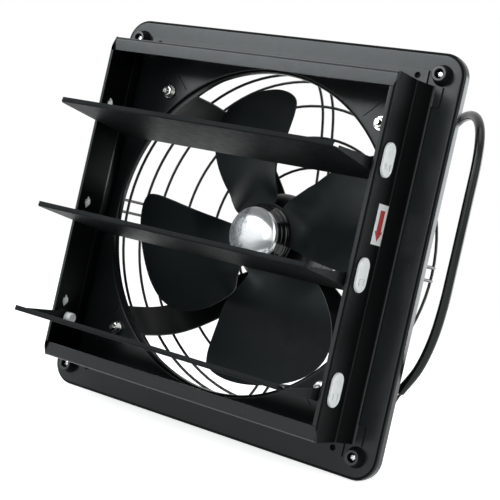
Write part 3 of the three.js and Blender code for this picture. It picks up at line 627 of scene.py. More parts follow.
def add(finish, kind, **inputs):
    """One node of a finish, its inputs set by name or linked from another node's output."""
    tree = finish.node_tree
    made = tree.nodes.new(kind)
    for key, value in inputs.items():
        socket = made.inputs[int(key[1:])] if key[1:].isdigit() else made.inputs[key.replace("_", " ")]
        if isinstance(value, bpy.types.NodeSocket):
            tree.links.new(value, socket)
        else:
            socket.default_value = value
    return made


def own_place(finish):
    return add(finish, "ShaderNodeTexCoord").outputs["Object"]


def speckle(finish, size, detail=3.0, rough=0.5, place=None):
    """Soft noise whose features are about size millimetres across."""
    return add(finish, "ShaderNodeTexNoise", Vector=place or own_place(finish), Scale=1 / (size * MM),
               Detail=detail, Roughness=rough).outputs["Fac"]


def spread(finish, value, low, high, start=0.3, end=0.7):
    return add(finish, "ShaderNodeMapRange", Value=value, From_Min=start, From_Max=end, To_Min=low,
               To_Max=high).outputs["Result"]


def blended(finish, factor, first, second):
    mix = add(finish, "ShaderNodeMix")
    mix.data_type = "RGBA"
    for socket, value in ((mix.inputs[0], factor), (mix.inputs[6], first), (mix.inputs[7], second)):
        if isinstance(value, bpy.types.NodeSocket):
            finish.node_tree.links.new(value, socket)
        else:
            socket.default_value = value if isinstance(value, float) else (*value, 1)
    return mix.outputs[2]


def dented(finish, surface, height, depth, strength=1.0, under=None):
    """Adds a bump of depth millimetres to a finish."""
    bump = add(finish, "ShaderNodeBump", Height=height, Strength=strength, Distance=depth * MM)
    if under:
        finish.node_tree.links.new(under, bump.inputs["Normal"])
    finish.node_tree.links.new(bump.outputs["Normal"], surface.inputs["Normal"])
    return bump.outputs["Normal"]


def edges(finish, reach):
    """About 1 where a sharp edge is near, and 0 on flats."""
    rounded = add(finish, "ShaderNodeBevel", Radius=reach * MM)
    rounded.samples = 4
    true = add(finish, "ShaderNodeNewGeometry").outputs["Normal"]
    dot = add(finish, "ShaderNodeVectorMath", _0=rounded.outputs["Normal"], _1=true)
    dot.operation = "DOT_PRODUCT"
    return spread(finish, dot.outputs["Value"], 1.0, 0.0, 0.86, 0.99)


def coat(name, colour, roughness, peel=0.5, size=1.1, edge_wear_and_highlight=1.6, gloss=0.35, vary=0.06, edge_highlight=0.004):
    """Painted or powder-coated steel: orange peel, uneven gloss, and edges painted lighter, partly as wear and partly
    as a painted edge highlight.
    """
    finish, surface = shader(name, colour, roughness, specular_ior_level=gloss)
    if surface is None:
        return finish
    link = finish.node_tree.links.new
    drift = speckle(finish, 45, 3)
    dust = speckle(finish, 7, 6, 0.65)
    tone = blended(finish, spread(finish, drift, 0.0, 1.0), [c * 0.86 for c in colour],
                   [c * 1.16 for c in colour])
    # Edges are painted lighter: partly wear, partly a painted highlight standing in for light caught on the edges.
    wear_and_painted_highlight = add(finish, "ShaderNodeMath", _0=edges(finish, 0.7), _1=spread(finish, dust, 0.25, 1.0))
    wear_and_painted_highlight.operation = "MULTIPLY"
    link(blended(finish, wear_and_painted_highlight.outputs[0], tone, [min(c * (1 + edge_wear_and_highlight) + edge_highlight, 1) for c in colour]),
         surface.inputs["Base Color"])
    link(spread(finish, dust, roughness - vary, roughness + vary), surface.inputs["Roughness"])
    grain = speckle(finish, size, 2, 0.4)
    coarse = dented(finish, surface, drift, 0.25, 0.07)
    dented(finish, surface, grain, 0.05, peel, coarse)
    return finish


def bright_metal(name, colour, roughness, grain=0.35, tint=None, along=(1, 1, 1), depth=0.02):
    """Bare or plated metal: fine uneven grain, patchy gloss and, where given, a second tint."""
    finish, surface = shader(name, colour, roughness, metallic=1.0)
    if surface is None:
        return finish
    link = finish.node_tree.links.new
    stretched = add(finish, "ShaderNodeMapping", Vector=own_place(finish), Scale=along).outputs["Vector"]
    patch = speckle(finish, 3.5, 5, 0.6)
    fine = speckle(finish, grain, 4, 0.6, stretched)
    link(blended(finish, spread(finish, patch, 0.0, 1.0), [c * 0.88 for c in colour], tint or colour),
         surface.inputs["Base Color"])
    link(spread(finish, patch, roughness * 0.8, roughness * 1.3), surface.inputs["Roughness"])
    dented(finish, surface, fine, depth, 0.5)
    return finish


def polished(name, colour, dull):
    """Plated cap: bright at the upper right, and painted dark towards the lower left, with a wavy, mottled edge, as a
    painted dark reflection; that part is rougher too.
    """
    finish, surface = shader(name, colour, 0.08, metallic=0.6)
    if surface is None:
        return finish
    link = finish.node_tree.links.new
    place = own_place(finish)
    wavy_edge_noise = speckle(finish, 9, 4, 0.6, add(finish, "ShaderNodeMapping", Vector=place, Scale=(1, 1, 0.45),
                                           Rotation=(0, math.radians(35), 0)).outputs["Vector"])
    drift = spread(finish, wavy_edge_noise, -0.004, 0.004)
    sides = []
    for way, start in (((-1.0, 0.0, 0.0), 0.0065), ((-0.42, 0.0, -0.91), 0.0085)):
        across = add(finish, "ShaderNodeVectorMath", _0=place, _1=way)
        across.operation = "DOT_PRODUCT"
        moved = add(finish, "ShaderNodeMath", _0=drift, _1=across.outputs["Value"])
        sides.append(spread(finish, moved.outputs[0], 0.0, 1.0, start, start + 0.003))
    painted_dark_reflection = add(finish, "ShaderNodeMath", _0=sides[0], _1=sides[1])
    painted_dark_reflection.operation = "MAXIMUM"
    painted_dark_reflection = painted_dark_reflection.outputs[0]
    fine = speckle(finish, 2.0, 6, 0.7)
    mottle = add(finish, "ShaderNodeMath", _0=painted_dark_reflection, _1=spread(finish, fine, 0.45, 1.0))
    mottle.operation = "MULTIPLY"
    # Painted reflection: the dark colour goes on by place, towards the left and the bottom of the cap.
    link(blended(finish, mottle.outputs[0], colour, dull), surface.inputs["Base Color"])
    link(spread(finish, mottle.outputs[0], 0.20, 0.50, 0.0, 1.0), surface.inputs["Roughness"])
    dented(finish, surface, speckle(finish, 14, 2), 0.3, 0.15)
    return finish


def moulded(name, colour, roughness, size=0.5, depth=0.03, dirt=0.85, gloss=0.5):
    """Moulded plastic or rubber: fine skin, slight shade changes and dull patches."""
    finish, surface = shader(name, colour, roughness, specular_ior_level=gloss)
    if surface is None:
        return finish
    link = finish.node_tree.links.new
    cloud = speckle(finish, 6, 5, 0.6)
    link(blended(finish, spread(finish, cloud, 0.0, 1.0), [c * dirt for c in colour], colour),
         surface.inputs["Base Color"])
    link(spread(finish, cloud, roughness - 0.07, roughness + 0.07), surface.inputs["Roughness"])
    dented(finish, surface, speckle(finish, size, 3), depth, 0.6)
    return finish


def laminated(name):
    """A stack of steel sheets along Y."""
    finish, surface = shader(name, (0.17, 0.17, 0.175), 0.42, metallic=0.85)
    if surface is None:
        return finish
    stack = add(finish, "ShaderNodeTexWave", Vector=own_place(finish), Scale=320.0, Distortion=0.3)
    stack.bands_direction = "Y"
    dented(finish, surface, stack.outputs["Fac"], 0.06, 0.7)
    finish.node_tree.links.new(spread(finish, speckle(finish, 4), 0.36, 0.52), surface.inputs["Roughness"])
    return finish


def wound(name):
    """Varnished copper turns."""
    finish, surface = shader(name, (0.42, 0.15, 0.06), 0.3, metallic=0.9, coat_weight=0.5)
    if surface is None:
        return finish
    turns = add(finish, "ShaderNodeTexWave", Vector=own_place(finish), Scale=240.0, Distortion=1.2,
                Detail=2.0)
    turns.wave_type = "RINGS"
    turns.rings_direction = "Y"
    dented(finish, surface, turns.outputs["Fac"], 0.15, 0.8)
    finish.node_tree.links.new(
        blended(finish, spread(finish, turns.outputs["Fac"], 0.0, 1.0), (0.20, 0.06, 0.025), (0.46, 0.17, 0.07)),
        surface.inputs["Base Color"])
    return finish


def panel_coat(context):
    return coat("panel powder coat", context.scene.fan_colours.panel, 0.25, peel=0.10, edge_wear_and_highlight=1.2, gloss=0.26, vary=0.03)


def shade_coat(context):
    # A darker copy of the panel's coat, as painted shade; its edges get a strong painted highlight.
    return coat("painted shade coat", context.scene.fan_colours.shade, 0.42, peel=0.3, gloss=0.05, edge_highlight=0.03)


def nylon(context):
    return moulded("white nylon", context.scene.fan_colours.nylon, 0.38, dirt=0.93)


def zinc():
    return bright_metal("zinc plate", (0.62, 0.63, 0.64), 0.2, grain=0.8, tint=(0.72, 0.71, 0.66), depth=0.008)


def steel():
    return bright_metal("ground steel", (0.56, 0.57, 0.58), 0.26, grain=0.25, along=(1, 14, 1))


# ---------- camera and cord ----------
class FAN_OT_camera(bpy.types.Operator):
    """Sets the camera to the photograph's viewpoint"""
    bl_idname = "fan.camera"
    bl_label = "Camera"

    def execute(self, context):
        forward = Vector((-0.55097, 0.83450, -0.00704)).normalized()
        up = Vector((-0.18880, -0.11643, 0.97509))
        side = forward.cross(up).normalized()
        lens = bpy.data.cameras.new("viewpoint")
        lens.lens = 86.6
        lens.sensor_width = 36
        lens.clip_start = 0.01
        camera = bpy.data.objects.new("viewpoint", lens)
        context.scene.collection.objects.link(camera)
        camera.matrix_world = (Matrix.Translation((0.56827, -0.84140, -0.00636))
                               @ Matrix((side, side.cross(forward), -forward)).transposed().to_4x4())
        context.scene.camera = camera
        return {"FINISHED"}


CORD_FROM = (41, 58, 76)            # distances from the axis, straight out of the motor
CORD_ROUTE = (
    (87.5, 89, 47.5), (103, 86.5, 58), (114, 83.5, 72), (120.5, 81, 89), (125.5, 77.5, 106), (134, 70.5, 120),
    (146, 59.5, 128.5), (159.5, 46, 131), (172.5, 31.5, 127.5), (183, 18.5, 118), (189.5, 10, 104),
    (192.5, 6, 87), (193, 5, 62), (193, 5, 34), (192.5, 6, 6), (191, 8.5, -22), (186.5, 13, -49),
    (178, 18, -74), (165, 23, -95))


def cord_leaves(s, distance):
    angle = math.radians(s.cord_angle)
    return (distance * math.cos(angle), s.cord_depth, distance * math.sin(angle))


class FAN_OT_cord(bpy.types.Operator):
    """Makes the supply cord, its bare end and the sleeve that it leaves the motor through"""
    bl_idname = "fan.cord"
    bl_label = "Supply Cord"

    def execute(self, context):
        s = Lengths(context)
        colours = context.scene.fan_colours
        radius = s.cord / 2
        route = [cord_leaves(s, d) for d in CORD_FROM] + list(CORD_ROUTE)
        line = flowing(route, 6)
        jacket = moulded("cord jacket", colours.jacket, 0.2, size=0.9, depth=0.012, dirt=0.8, gloss=0.25)
        cord = wire("supply_cord", line, radius, 6, keep_curve=True)
        fitted(cord, "housing", "cord_jacket", jacket, "power_cord")

        end = Vector(route[-1])
        way = (end - Vector(route[-2])).normalized()
        aside = way.cross(Vector((0, 1, 0))).normalized()
        def at(distance, offset):
            return end + way * distance + aside * offset
        stub = wire("filler", [at(0.3, 0), at(0.9, 0), at(1.5, 0)], radius - 0.8, 6)
        leads = [wire("lead", flowing([at(0.7, k * 1.5), at(6, k * 1.6), at(13, k * 2.4), at(26, k * 3.4)], 8),
                      1.1, 3) for k in (-1, 1)]
        ends = fitted(joined("bare_leads", stub, *leads), "housing", "lead_cover",
                      moulded("lead covers", colours.leads, 0.4, size=0.6), "cord_leads", angle=60)

        neck = radius + 1.4
        shell = s.motor_radius
        taper = [(radius + 2.0 - 0.9 * k / 9 + (0.28 if k % 2 else -0.28), shell + 4.6 + 17.6 * k / 9)
                 for k in range(10)]
        sleeve = turned("cord_sleeve", [
            (radius + 0.25, shell - 1.6), (neck, shell - 1.6), (neck, shell + s.seat),
            (neck + 1.3, shell + s.seat), (neck + 1.6, shell + 0.7), (neck + 1.6, shell + 2.2),
            (neck + 1.2, shell + 2.7), *taper, (radius + 1.0, shell + 23.4), (radius + 0.7, shell + 24),
            (radius + 0.25, shell + 24)], 40)
        placed(sleeve, shift(0, s.cord_depth, 0) @ swing(-s.cord_angle, "Y") @ to_side())
        fitted(sleeve, "housing", "gland_rubber", moulded("sleeve rubber", colours.rubber, 0.6), "cord_gland")
        return {"FINISHED"}


# ---------- flange and shutter box ----------
class FAN_OT_panel(bpy.types.Operator):
    """Presses the flange panel: a rolled edge and a drawn air ring in one sheet"""
    bl_idname = "fan.panel"
    bl_label = "Flange Panel"

    def execute(self, context):
        s = Lengths(context)
        mouth = s.ring + s.ring_round
        put_down()
        bpy.ops.mesh.primitive_plane_add(size=s.flange * MM, rotation=(math.pi / 2, 0, 0))
        panel = named("flange_panel")
        rework(panel)
        bpy.ops.mesh.select_all(action="SELECT")
        bpy.ops.mesh.bevel(offset=s.flange_corner * MM, segments=12, affect="VERTICES")
        bpy.ops.mesh.select_all(action="SELECT")
        pull(0, s.rim_depth, 0)
        choose(lambda p: p.y > s.rim_depth - 0.1, "FACE")
        bpy.ops.mesh.delete(type="ONLY_FACE")
        choose(lambda p: p.y < 0.1, "EDGE")
        bpy.ops.mesh.bevel(offset=s.rim_round * MM, segments=6, affect="EDGES")
        choose(lambda p: p.y < 1e-3, "FACE")
        bpy.ops.mesh.inset(thickness=5 * MM)
        bpy.ops.mesh.delete(type="ONLY_FACE")
        bpy.ops.mesh.select_mode(type="VERT")
        bpy.ops.mesh.select_all(action="DESELECT")
        bpy.ops.mesh.primitive_circle_add(vertices=160, radius=(mouth + 2) * MM, rotation=(math.pi / 2, 0, 0))
        stations = [(mouth + 2, 0), *arc(mouth, s.ring_round, s.ring_round, 270, 180, 6),
                    (s.ring, s.ring_depth)]
        for (r0, y0), (r1, y1) in zip(stations, stations[1:]):
            pull(0, y1 - y0, 0)
            widen(r1 / r0, 1, r1 / r0)
        inside = s.flange / 2 - s.rim_round - 4
        choose(lambda p: abs(p.y) < 1e-3 and math.hypot(p.x, p.z) > mouth + 1
               and max(abs(p.x), abs(p.z)) < inside, "EDGE")
        bpy.ops.mesh.fill()
        close_up(panel)
        rework(panel)
        choose(lambda p: abs(p.y) < 1e-3, "FACE")
        mesh = bmesh.from_edit_mesh(panel.data)
        if sum(face.normal.y for face in mesh.faces if face.select) > 0:
            bpy.ops.mesh.select_all(action="SELECT")
            bpy.ops.mesh.flip_normals()
        put_down()
        wall(panel, s.sheet, -1)
        holes = [bar(s.seat + 2.5, -1, 3, sx * s.arm_bolt, sz * s.arm_bolt) for sx, sz in CORNERS]
        holes += [bar(2.3, -1, 3, sx * s.bumper, sz * s.bumper) for sx, sz in CORNERS]
        seats = [placed(block(k * s.arm_width / 2 - 0.35, k * s.arm_width / 2 + 0.35, -0.5, 0.7, 143, 160.5),
                        swing(45 + 90 * i, "Y")) for i in range(4) for k in (-1, 1)]
        seats += [bar(2.2, -0.5, 0.7, x * (s.side_inside - s.seat - 9), z * (s.half_height + 7)) for x, z in CORNERS]
        carved(panel, *holes, *seats)
        eased(panel, 0.3, 2, 60)
        fitted(panel, "housing", "panel_black", panel_coat(context), "main_panel")
        # Painted shade: the rolled flange edge, except where it faces right, and the floors and walls of the shallow
        # pockets get the darker coat.
        bend = s.flange / 2 - s.rim_round + 0.1
        second_finish(panel, shade_coat(context), lambda middle, way: max(abs(middle.x), abs(middle.z)) > bend
                      and abs(way.y) < 0.97 and way.x < 0.6 or 0.2 < middle.y < 0.95)
        return {"FINISHED"}


class FAN_OT_shutter_box(bpy.types.Operator):
    """Folds the four channels of the shutter box"""
    bl_idname = "fan.shutter_box"
    bl_label = "Shutter Box"

    def execute(self, context):
        s = Lengths(context)
        coating = panel_coat(context)
        sides = shade_coat(context)
        # The front lips of the top and bottom channels get a lighter copy of the panel's coat, as painted light.
        painted_light_lips = coat("lip coat with painted light", [c * 2.6 for c in context.scene.fan_colours.panel], 0.27, peel=0.1, gloss=0.35)
        front, foot, mid = -s.box_depth + s.sheet / 2, -s.seat - s.sheet / 2, s.half_height - s.sheet / 2
        half = s.side_inside - s.seat
        for name, sign in (("top", 1), ("bottom", -1)):
            path = [(front, sign * (s.half_height - 12)), (front, sign * mid), (foot, sign * mid),
                    (foot, sign * (s.half_height + 12))]
            channel = strip(f"channel_{name}", path, 2 * half, lambda y, z: (0, y, z), (1, 0, 0))
            folds = [lambda p: abs(p.y - front) < 1e-2 and abs(abs(p.z) - mid) < 1e-2,
                     lambda p: abs(p.y - foot) < 1e-2 and abs(abs(p.z) - mid) < 1e-2]
            bent(channel, folds, 2.5)
            wall(channel, s.sheet)
            carved(channel, *[bar(2.5, -4, 1, x * (half - 9), sign * (s.half_height + 7)) for x in (-1, 1)])
            eased(channel, 0.28)
            fitted(channel, "housing", "panel_black", coating, f"shutter_{name}")
            # Painted light on the front-facing lips.
            second_finish(channel, painted_light_lips, lambda middle, way: way.y < -0.75 and middle.y < -50)

        out, front = s.half_width - s.sheet / 2, -s.box_depth - s.side_reach + s.sheet / 2
        path = [(s.half_width - 4, front), (out, front), (out, -19), (out + 6, foot), (out + 14, foot)]
        side = strip("channel_right", path, s.box_height, lambda x, y: (x, y, 0), (0, 0, 1))
        bent(side, [lambda p, x=x, y=y: abs(p.x - x) < 1e-2 and abs(p.y - y) < 1e-2 for x, y in path[1:4]], 2.2)
        wall(side, s.sheet)
        end, tab = s.half_height, s.half_height - 16
        tools = [block(out + 7.5, s.flange / 2, -4, 1, -tab, tab)]
        for k in (-1, 1):
            corner = [(-s.box_depth - s.side_reach - 1, k * (end + 1)), (-s.box_depth + s.sheet + 1, k * (end + 1)),
                      (-s.box_depth - s.side_reach - 1, k * (end - 14))]
            tools.append(pushed("corner", corner, lambda y, z: (0, y, z), 100, 80, (1, 0, 0)))
            tools.append(block(s.half_width - 6, s.half_width - s.sheet, -60, 1 - s.box_depth,
                               k * (end - 13), k * (end + 1)))
        for height in s.pivots:
            tools.append(placed(bar(4.9, 130, 150), shift(0, -s.pivot_depth, height) @ to_side()))
            tools.append(block(135, 150, -s.pivot_depth - 2.5, -s.pivot_depth + 2.5, height + 11.8, height + 16.2))
        for tool in tools:
            carved(side, tool)
        eased(side, 0.28)
        left = mirrored(side, "channel_left")
        # The side channels get the darker coat as painted shade; only their front-facing faces keep the panel's coat.
        fitted(side, "housing", "panel_black", sides, "shutter_right")
        fitted(left, "housing", "panel_black", sides, "shutter_left")
        # A lighter strip along the fold line, as a painted highlight.
        wear_and_painted_highlight = coat("rubbed fold", (0.012, 0.014, 0.0145), 0.34, peel=0.1, gloss=0.2)
        for wing in (side, left):
            second_finish(wing, coating, lambda middle, way: way.y < -0.75)
            second_finish(wing, wear_and_painted_highlight, lambda middle, way: abs(middle.y + 19.6) < 0.7)
        return {"FINISHED"}


class FAN_OT_bushes(bpy.types.Operator):
    """Moulds the white oval pivot bushes with their sleeves and snap hooks"""
    bl_idname = "fan.bushes"
    bl_label = "Pivot Bushes"

    def execute(self, context):
        s = Lengths(context)
        outer, inner = s.half_width + s.seat, s.side_inside
        r, rise = 15.5 / 2, 5.5
        straight = 27 / 2 - r
        outline = ([(r * math.cos(a), rise + straight + r * math.sin(a))
                    for a in (math.pi * i / 20 for i in range(21))]
                   + [(r * math.cos(a), rise - straight + r * math.sin(a))
                      for a in (math.pi * (1 + i / 20) for i in range(21))])
        plate = pushed("plate", outline, lambda y, z: (0, y, z), outer, 2.4, (1, 0, 0))
        rework(plate)
        choose(lambda p: p.x > outer + 2.3, "EDGE")
        bpy.ops.mesh.bevel(offset=0.8 * MM, segments=4, affect="EDGES")
        choose(lambda p: p.x > outer + 2.39, "FACE")
        bpy.ops.mesh.inset(thickness=1.1 * MM)
        bpy.ops.transform.translate(value=(-0.25 * MM, 0, 0))
        put_down()
        slots = [block(outer + 0.8, outer + 4, k * 3.4 - 1.0, k * 3.4 + 1.0, -2.2, 2.6) for k in (-1, 1)]
        slots.append(block(outer + 1.7, outer + 4, -2.4, -0.9, 8.6, 12.4))
        carved(plate, *slots)
        eased(plate, 0.15, 2, 50)
        sleeve = placed(turned("sleeve", [(3.1, inner - 2.6), (4.3, inner - 2.6), (4.6, inner - 2.3),
                                          (4.6, outer + 0.5), (3.1, outer + 0.5)], 40), to_side())
        neck = block(inner - 1.2, outer + 1, -2.1, 2.1, 14 - 1.7, 14 + 1.7)
        barb = [(0.5, 9.2), (2.1, 12.0), (2.1, 14.6), (0.9, 16.0), (0.6, 18.2), (-0.6, 18.2), (-0.9, 16.0),
                (-2.1, 14.6), (-2.1, 12.0), (-0.5, 9.2)]
        hook = pushed("hook", barb, lambda y, z: (0, y, z), inner - 3.5, 3.2, (1, 0, 0))
        rework(hook)
        choose(lambda p: p.x < inner - 3, "VERT")
        widen(1, 0.4, 0.4, (inner - 3.5, 0, 14))
        choose(lambda p: p.x > inner - 1, "VERT")
        widen(1, 1.16, 1.16, (inner - 0.3, 0, 14))
        put_down()
        eased(neck, 0.2)
        eased(hook, 0.3)
        bush = joined("bush", plate, sleeve, neck, hook)
        other = mirrored(bush, "bush_other")
        white = nylon(context)
        for i, height in enumerate(s.pivots, 1):
            place = shift(0, -s.pivot_depth, height)
            fitted(copied(bush, f"bush_right_{i}", place), "housing", "nylon_white", white, f"pivot_bush_right_{i}")
            fitted(copied(other, f"bush_left_{i}", place), "housing", "nylon_white", white, f"pivot_bush_left_{i}")
        bpy.data.objects.remove(bush)
        bpy.data.objects.remove(other)
        return {"FINISHED"}


class FAN_OT_louvres(bpy.types.Operator):
    """Folds the three louvres, with their lip, hooked tail and tapered end tabs"""
    bl_idname = "fan.louvres"
    bl_label = "Louvres"

    def execute(self, context):
        s = Lengths(context)
        half, low = s.louvre_half, -6.0
        path = [(-s.louvre_reach + 0.8, low + 3.7), (-s.louvre_reach, low), (s.louvre_tail - 4, low),
                (s.louvre_tail, low + 1.6)]
        plate = strip("plate", path, 2 * half, lambda y, z: (0, y, z), (1, 0, 0))
        bent(plate, [lambda p, y=y: abs(p.y - y) < 1e-2 and abs(p.z - low) < 1e-2 for y, _ in path[1:3]], 1.1, 4)
        wall(plate, 1.0)
        for k in (-1, 1):
            corner = [(k * (half + 1), -s.louvre_reach - 4), (k * (half + 1), -s.louvre_reach + 6),
                      (k * (half - 5), -s.louvre_reach - 4)]
            carved(plate, pushed("corner", corner, lambda x, y: (x, y, 0), -20, 40, (0, 0, 1)))
        tab = [(-s.louvre_reach + 6, low - 0.3), (18, low - 0.3), (12, 1.5), (8, 5.5), (-8, 5.5), (-14, 3),
               (-s.louvre_reach + 6, low + 2.4)]
        tabs = []
        for x in (-half, half - 1):
            piece = pushed("tab", tab, lambda y, z: (0, y, z), x, 1.0, (1, 0, 0))
            carved(piece, placed(bar(3.3, -3, 3), shift(x, 0, 0) @ to_side()))
            tabs.append(eased(piece, 0.2))
        eased(plate, 0.25)
        louvre = joined("louvre", plate, *tabs)
        # Its edges get a painted highlight.
        coating = coat("louvre coat", context.scene.fan_colours.louvre, 0.46, peel=0.2, gloss=0.04, edge_highlight=0.02)
        for i, height in enumerate(s.pivots, 1):
            place = shift(0, -s.pivot_depth, height) @ swing(-s.louvre_tilt, "X")
            fitted(copied(louvre, f"louvre_blade_{i}", place), f"louvre_body_{i}", "panel_black", coating,
                   f"louvre_{i}")
        bpy.data.objects.remove(louvre)
        return {"FINISHED"}


class FAN_OT_louvre_pins(bpy.types.Operator):
    """Turns the nylon pins that the louvres swing on"""
    bl_idname = "fan.louvre_pins"
    bl_label = "Louvre Pins"

    def execute(self, context):
        s = Lengths(context)
        inner = s.louvre_half - 1 - s.seat
        end = s.half_width + 2.4 - 0.8
        pin = placed(turned("pin", [
            (0, inner - 6.6), (2.2, inner - 6.6), (2.6, inner - 7), (4.1, inner - 7), (4.6, inner - 6.5),
            (4.6, inner - 0.3), (4.3, inner), (3, inner), (3, end - 0.4), (2.6, end), (0, end)], 40), to_side())
        other = mirrored(pin, "pin_other")
        white = nylon(context)
        for i, height in enumerate(s.pivots, 1):
            place = shift(0, -s.pivot_depth, height)
            for side, model in (("right", pin), ("left", other)):
                fitted(copied(model, f"pin_{side}_{i}", place), f"louvre_body_{i}", "nylon_white", white,
                       f"louvre_pin_{side}_{i}")
        bpy.data.objects.remove(pin)
        bpy.data.objects.remove(other)
        return {"FINISHED"}


# ---------- fasteners ----------
class FAN_OT_bumpers(bpy.types.Operator):
    """Makes the rubber corner bumpers and the cross-head screws in them"""
    bl_idname = "fan.bumpers"
    bl_label = "Corner Bumpers"

    def execute(self, context):
        s = Lengths(context)
        bumper = turned("bumper", [
            (2.3, -s.seat), (8.1, -s.seat), (8.4, -s.seat - 0.3), (8.4, -0.9), (7.8, -1.4), (6.3, -7.6),
            *[(5.4 + r, -7.6 + y) for r, y in arc(0, 0, 0.88, 0, -90, 4)], (4.2, -8.45), (3.7, -8.0), (3.7, -3),
            (2.3, -3)], 48)
        top = -3 - s.seat - 2.4
        screw = turned("screw", [
            (0, top), (1.0, top + 0.03), (1.9, top + 0.18), (2.7, top + 0.62), (3.15, top + 1.25),
            (3.2, -3 - s.seat - 0.3), (3.0, -3 - s.seat), (1.9, -3 - s.seat), (1.9, 5.8), (1.2, 7), (0, 7.5)], 40)
        carved(screw, block(-1.75, 1.75, top - 1, top + 1.25, -0.4, 0.4))
        carved(screw, block(-0.4, 0.4, top - 1, top + 1.25, -1.75, 1.75))
        eased(screw, 0.1, 2, 50)
        rubber = moulded("bumper rubber", context.scene.fan_colours.rubber, 0.55, size=0.4, gloss=0.05)
        # The bumper's front face gets a lighter, glossier copy of the rubber, as a painted highlight; its sides keep
        # the darker rubber.
        face = moulded("bumper face with painted highlight", [c * 2 for c in context.scene.fan_colours.rubber], 0.3, size=0.4, gloss=0.5)
        steely = bright_metal("screw steel", (0.74, 0.75, 0.76), 0.22, depth=0.01)
        for i, (sx, sz) in enumerate(CORNERS, 1):
            place = shift(sx * s.bumper, 0, sz * s.bumper)
            foot = copied(bumper, f"bumper_{i}", place)
            fitted(foot, "housing", "bumper_rubber", rubber, f"corner_bumper_{i}")
            second_finish(foot, face, lambda middle, way: way.y < -0.6 and middle.y < -7)
            fitted(copied(screw, f"cross_screw_{i}", place @ swing(17 * i, "Y")), "housing", "screw_steel", steely,
                   f"bumper_screw_{i}")
        bpy.data.objects.remove(bumper)
        bpy.data.objects.remove(screw)
        return {"FINISHED"}


def threaded(name, radius, start, end, pitch=0.8):
    """A threaded end: a bar with a ridge for each turn."""
    ridges = []
    turns = int((end - start - 0.8) / pitch)
    for k in range(turns):
        y = start + 0.8 + k * pitch
        ridges += [(radius - 0.28, y), (radius, y + pitch * 0.5)]
    return turned(name, [(0, start), (radius - 0.6, start), (radius - 0.28, start + 0.5), *ridges,
                         (radius, end), (0, end)], 32)


class FAN_OT_fasteners(bpy.types.Operator):
    """Makes the plated bolts, washers and nuts of the arms, and the motor's own bolts"""
    bl_idname = "fan.fasteners"
    bl_label = "Bolts and Nuts"

    def execute(self, context):
        s = Lengths(context)
        plate = zinc()
        head = s.head_front
        bolt = joined("bolt", hexagon("head", 8, head, head + 3.5), threaded("end", 2.5, -8.5, -4),
                      turned("shank", [(0, -4.2), (2.45, -4.2), (2.45, head + 1), (0, head + 1)], 32))
        washer = turned("washer", [
            (2.8, -s.seat), (5.8, -s.seat), (6, -s.seat - 0.2), (6, -1.5), (5.8, -1.7), (2.8, -1.7)], 48)
        ring = turned("spring", [(2.8, -1.7), (4.2, -1.7), (4.3, -1.8), (4.3, -2.35), (4.2, -2.45),
                                 (2.8, -2.45)], 40)
        nut = joined("nut", carved(hexagon("nut", 8, -5.6, -2.45), bar(2.6, -8, 1)), washer, ring)
        for i, (sx, sz) in enumerate(CORNERS, 1):
            place = shift(sx * s.arm_bolt, 0, sz * s.arm_bolt) @ swing(11 + 23 * i, "Y")
            fitted(copied(bolt, f"corner_bolt_{i}", place), "housing", "zinc_steel", plate, f"arm_bolt_{i}")
            fitted(copied(nut, f"corner_nut_{i}", place), "housing", "zinc_steel", plate, f"arm_nut_{i}")
        front = s.motor_back + s.arm_sheet + 2 * s.seat
        long_bolt = joined("long_bolt", hexagon("head", 7, front, front + 3),
                           turned("shank", [(0, s.motor_front + 4.5), (1.7, s.motor_front + 4.5),
                                            (2, s.motor_front + 5), (2, front + 1), (0, front + 1)], 24))
        for i, direction in enumerate(ARM_DIRECTIONS, 1):
            angle = math.radians(direction)
            place = shift(s.motor_bolts * math.cos(angle), 0, s.motor_bolts * math.sin(angle)) @ swing(19 * i, "Y")
            fitted(copied(long_bolt, f"through_bolt_{i}", place), "housing", "zinc_steel", plate, f"motor_bolt_{i}")
        for model in (bolt, nut, long_bolt):
            bpy.data.objects.remove(model)
        return {"FINISHED"}


# ---------- arms, guard, motor ----------
class FAN_OT_arms(bpy.types.Operator):
    """Bends the four straps that carry the motor"""
    bl_idname = "fan.arms"
    bl_label = "Motor Straps"

    def execute(self, context):
        s = Lengths(context)
        stand, back = s.arm_stand, s.motor_back + s.seat - s.arm_foot
        line = [(s.arm_bolt_circle + 10, 0), (stand + 3.4, 0), (stand, 3.4), (stand - 0.5, 18), (stand - 3.5, 42),
                (stand - 11, 61), (stand - 26, 77), (stand - 48, 89), (stand - 72, back - 3),
                (s.motor_radius + 10, back), (s.motor_bolts - 6, back)]
        line = [(r, y + s.arm_foot + s.arm_sheet / 2) for r, y in line]
        foot, edge = line[0], line[1]
        flat = [(foot[0] + (edge[0] - foot[0]) * t, foot[1]) for t in (0, 0.2, 0.6)]
        path = flat + [tuple(p) for p in spline(line[1:], 45)]

        def width(r):
            if r > s.arm_bolt_circle + 6:
                return s.arm_width - 2 * 7 * (r - s.arm_bolt_circle - 6) / 5
            wide, narrow = s.motor_radius + 34, s.motor_bolts + 6
            if r > wide:
                return s.arm_width
            if r > narrow:
                return 14 + (s.arm_width - 14) * (r - narrow) / (wide - narrow)
            return 12 + 2 * (r - s.motor_bolts + 7) / 13
        widths = [width(r) for r, _ in path]
        arm = strip("arm", path, s.arm_width, lambda r, y: (0, y, r), (1, 0, 0), widths)
        wall(arm, s.arm_sheet)
        carved(arm, bar(s.seat + 2.5, -2, 12, 0, s.arm_bolt_circle),
               bar(s.seat + 2, s.motor_back - 5, s.motor_back + 8, 0, s.motor_bolts))
        eased(arm, 0.4, 3, 50)
        coating = coat("strap coat", context.scene.fan_colours.arm, 0.34, gloss=0.12)
        for i, direction in enumerate(ARM_DIRECTIONS, 1):
            fitted(copied(arm, f"strap_{i}", swing(90 - direction, "Y")), "housing", "arm_black", coating,
                   f"motor_arm_{i}")
        bpy.data.objects.remove(arm)
        return {"FINISHED"}


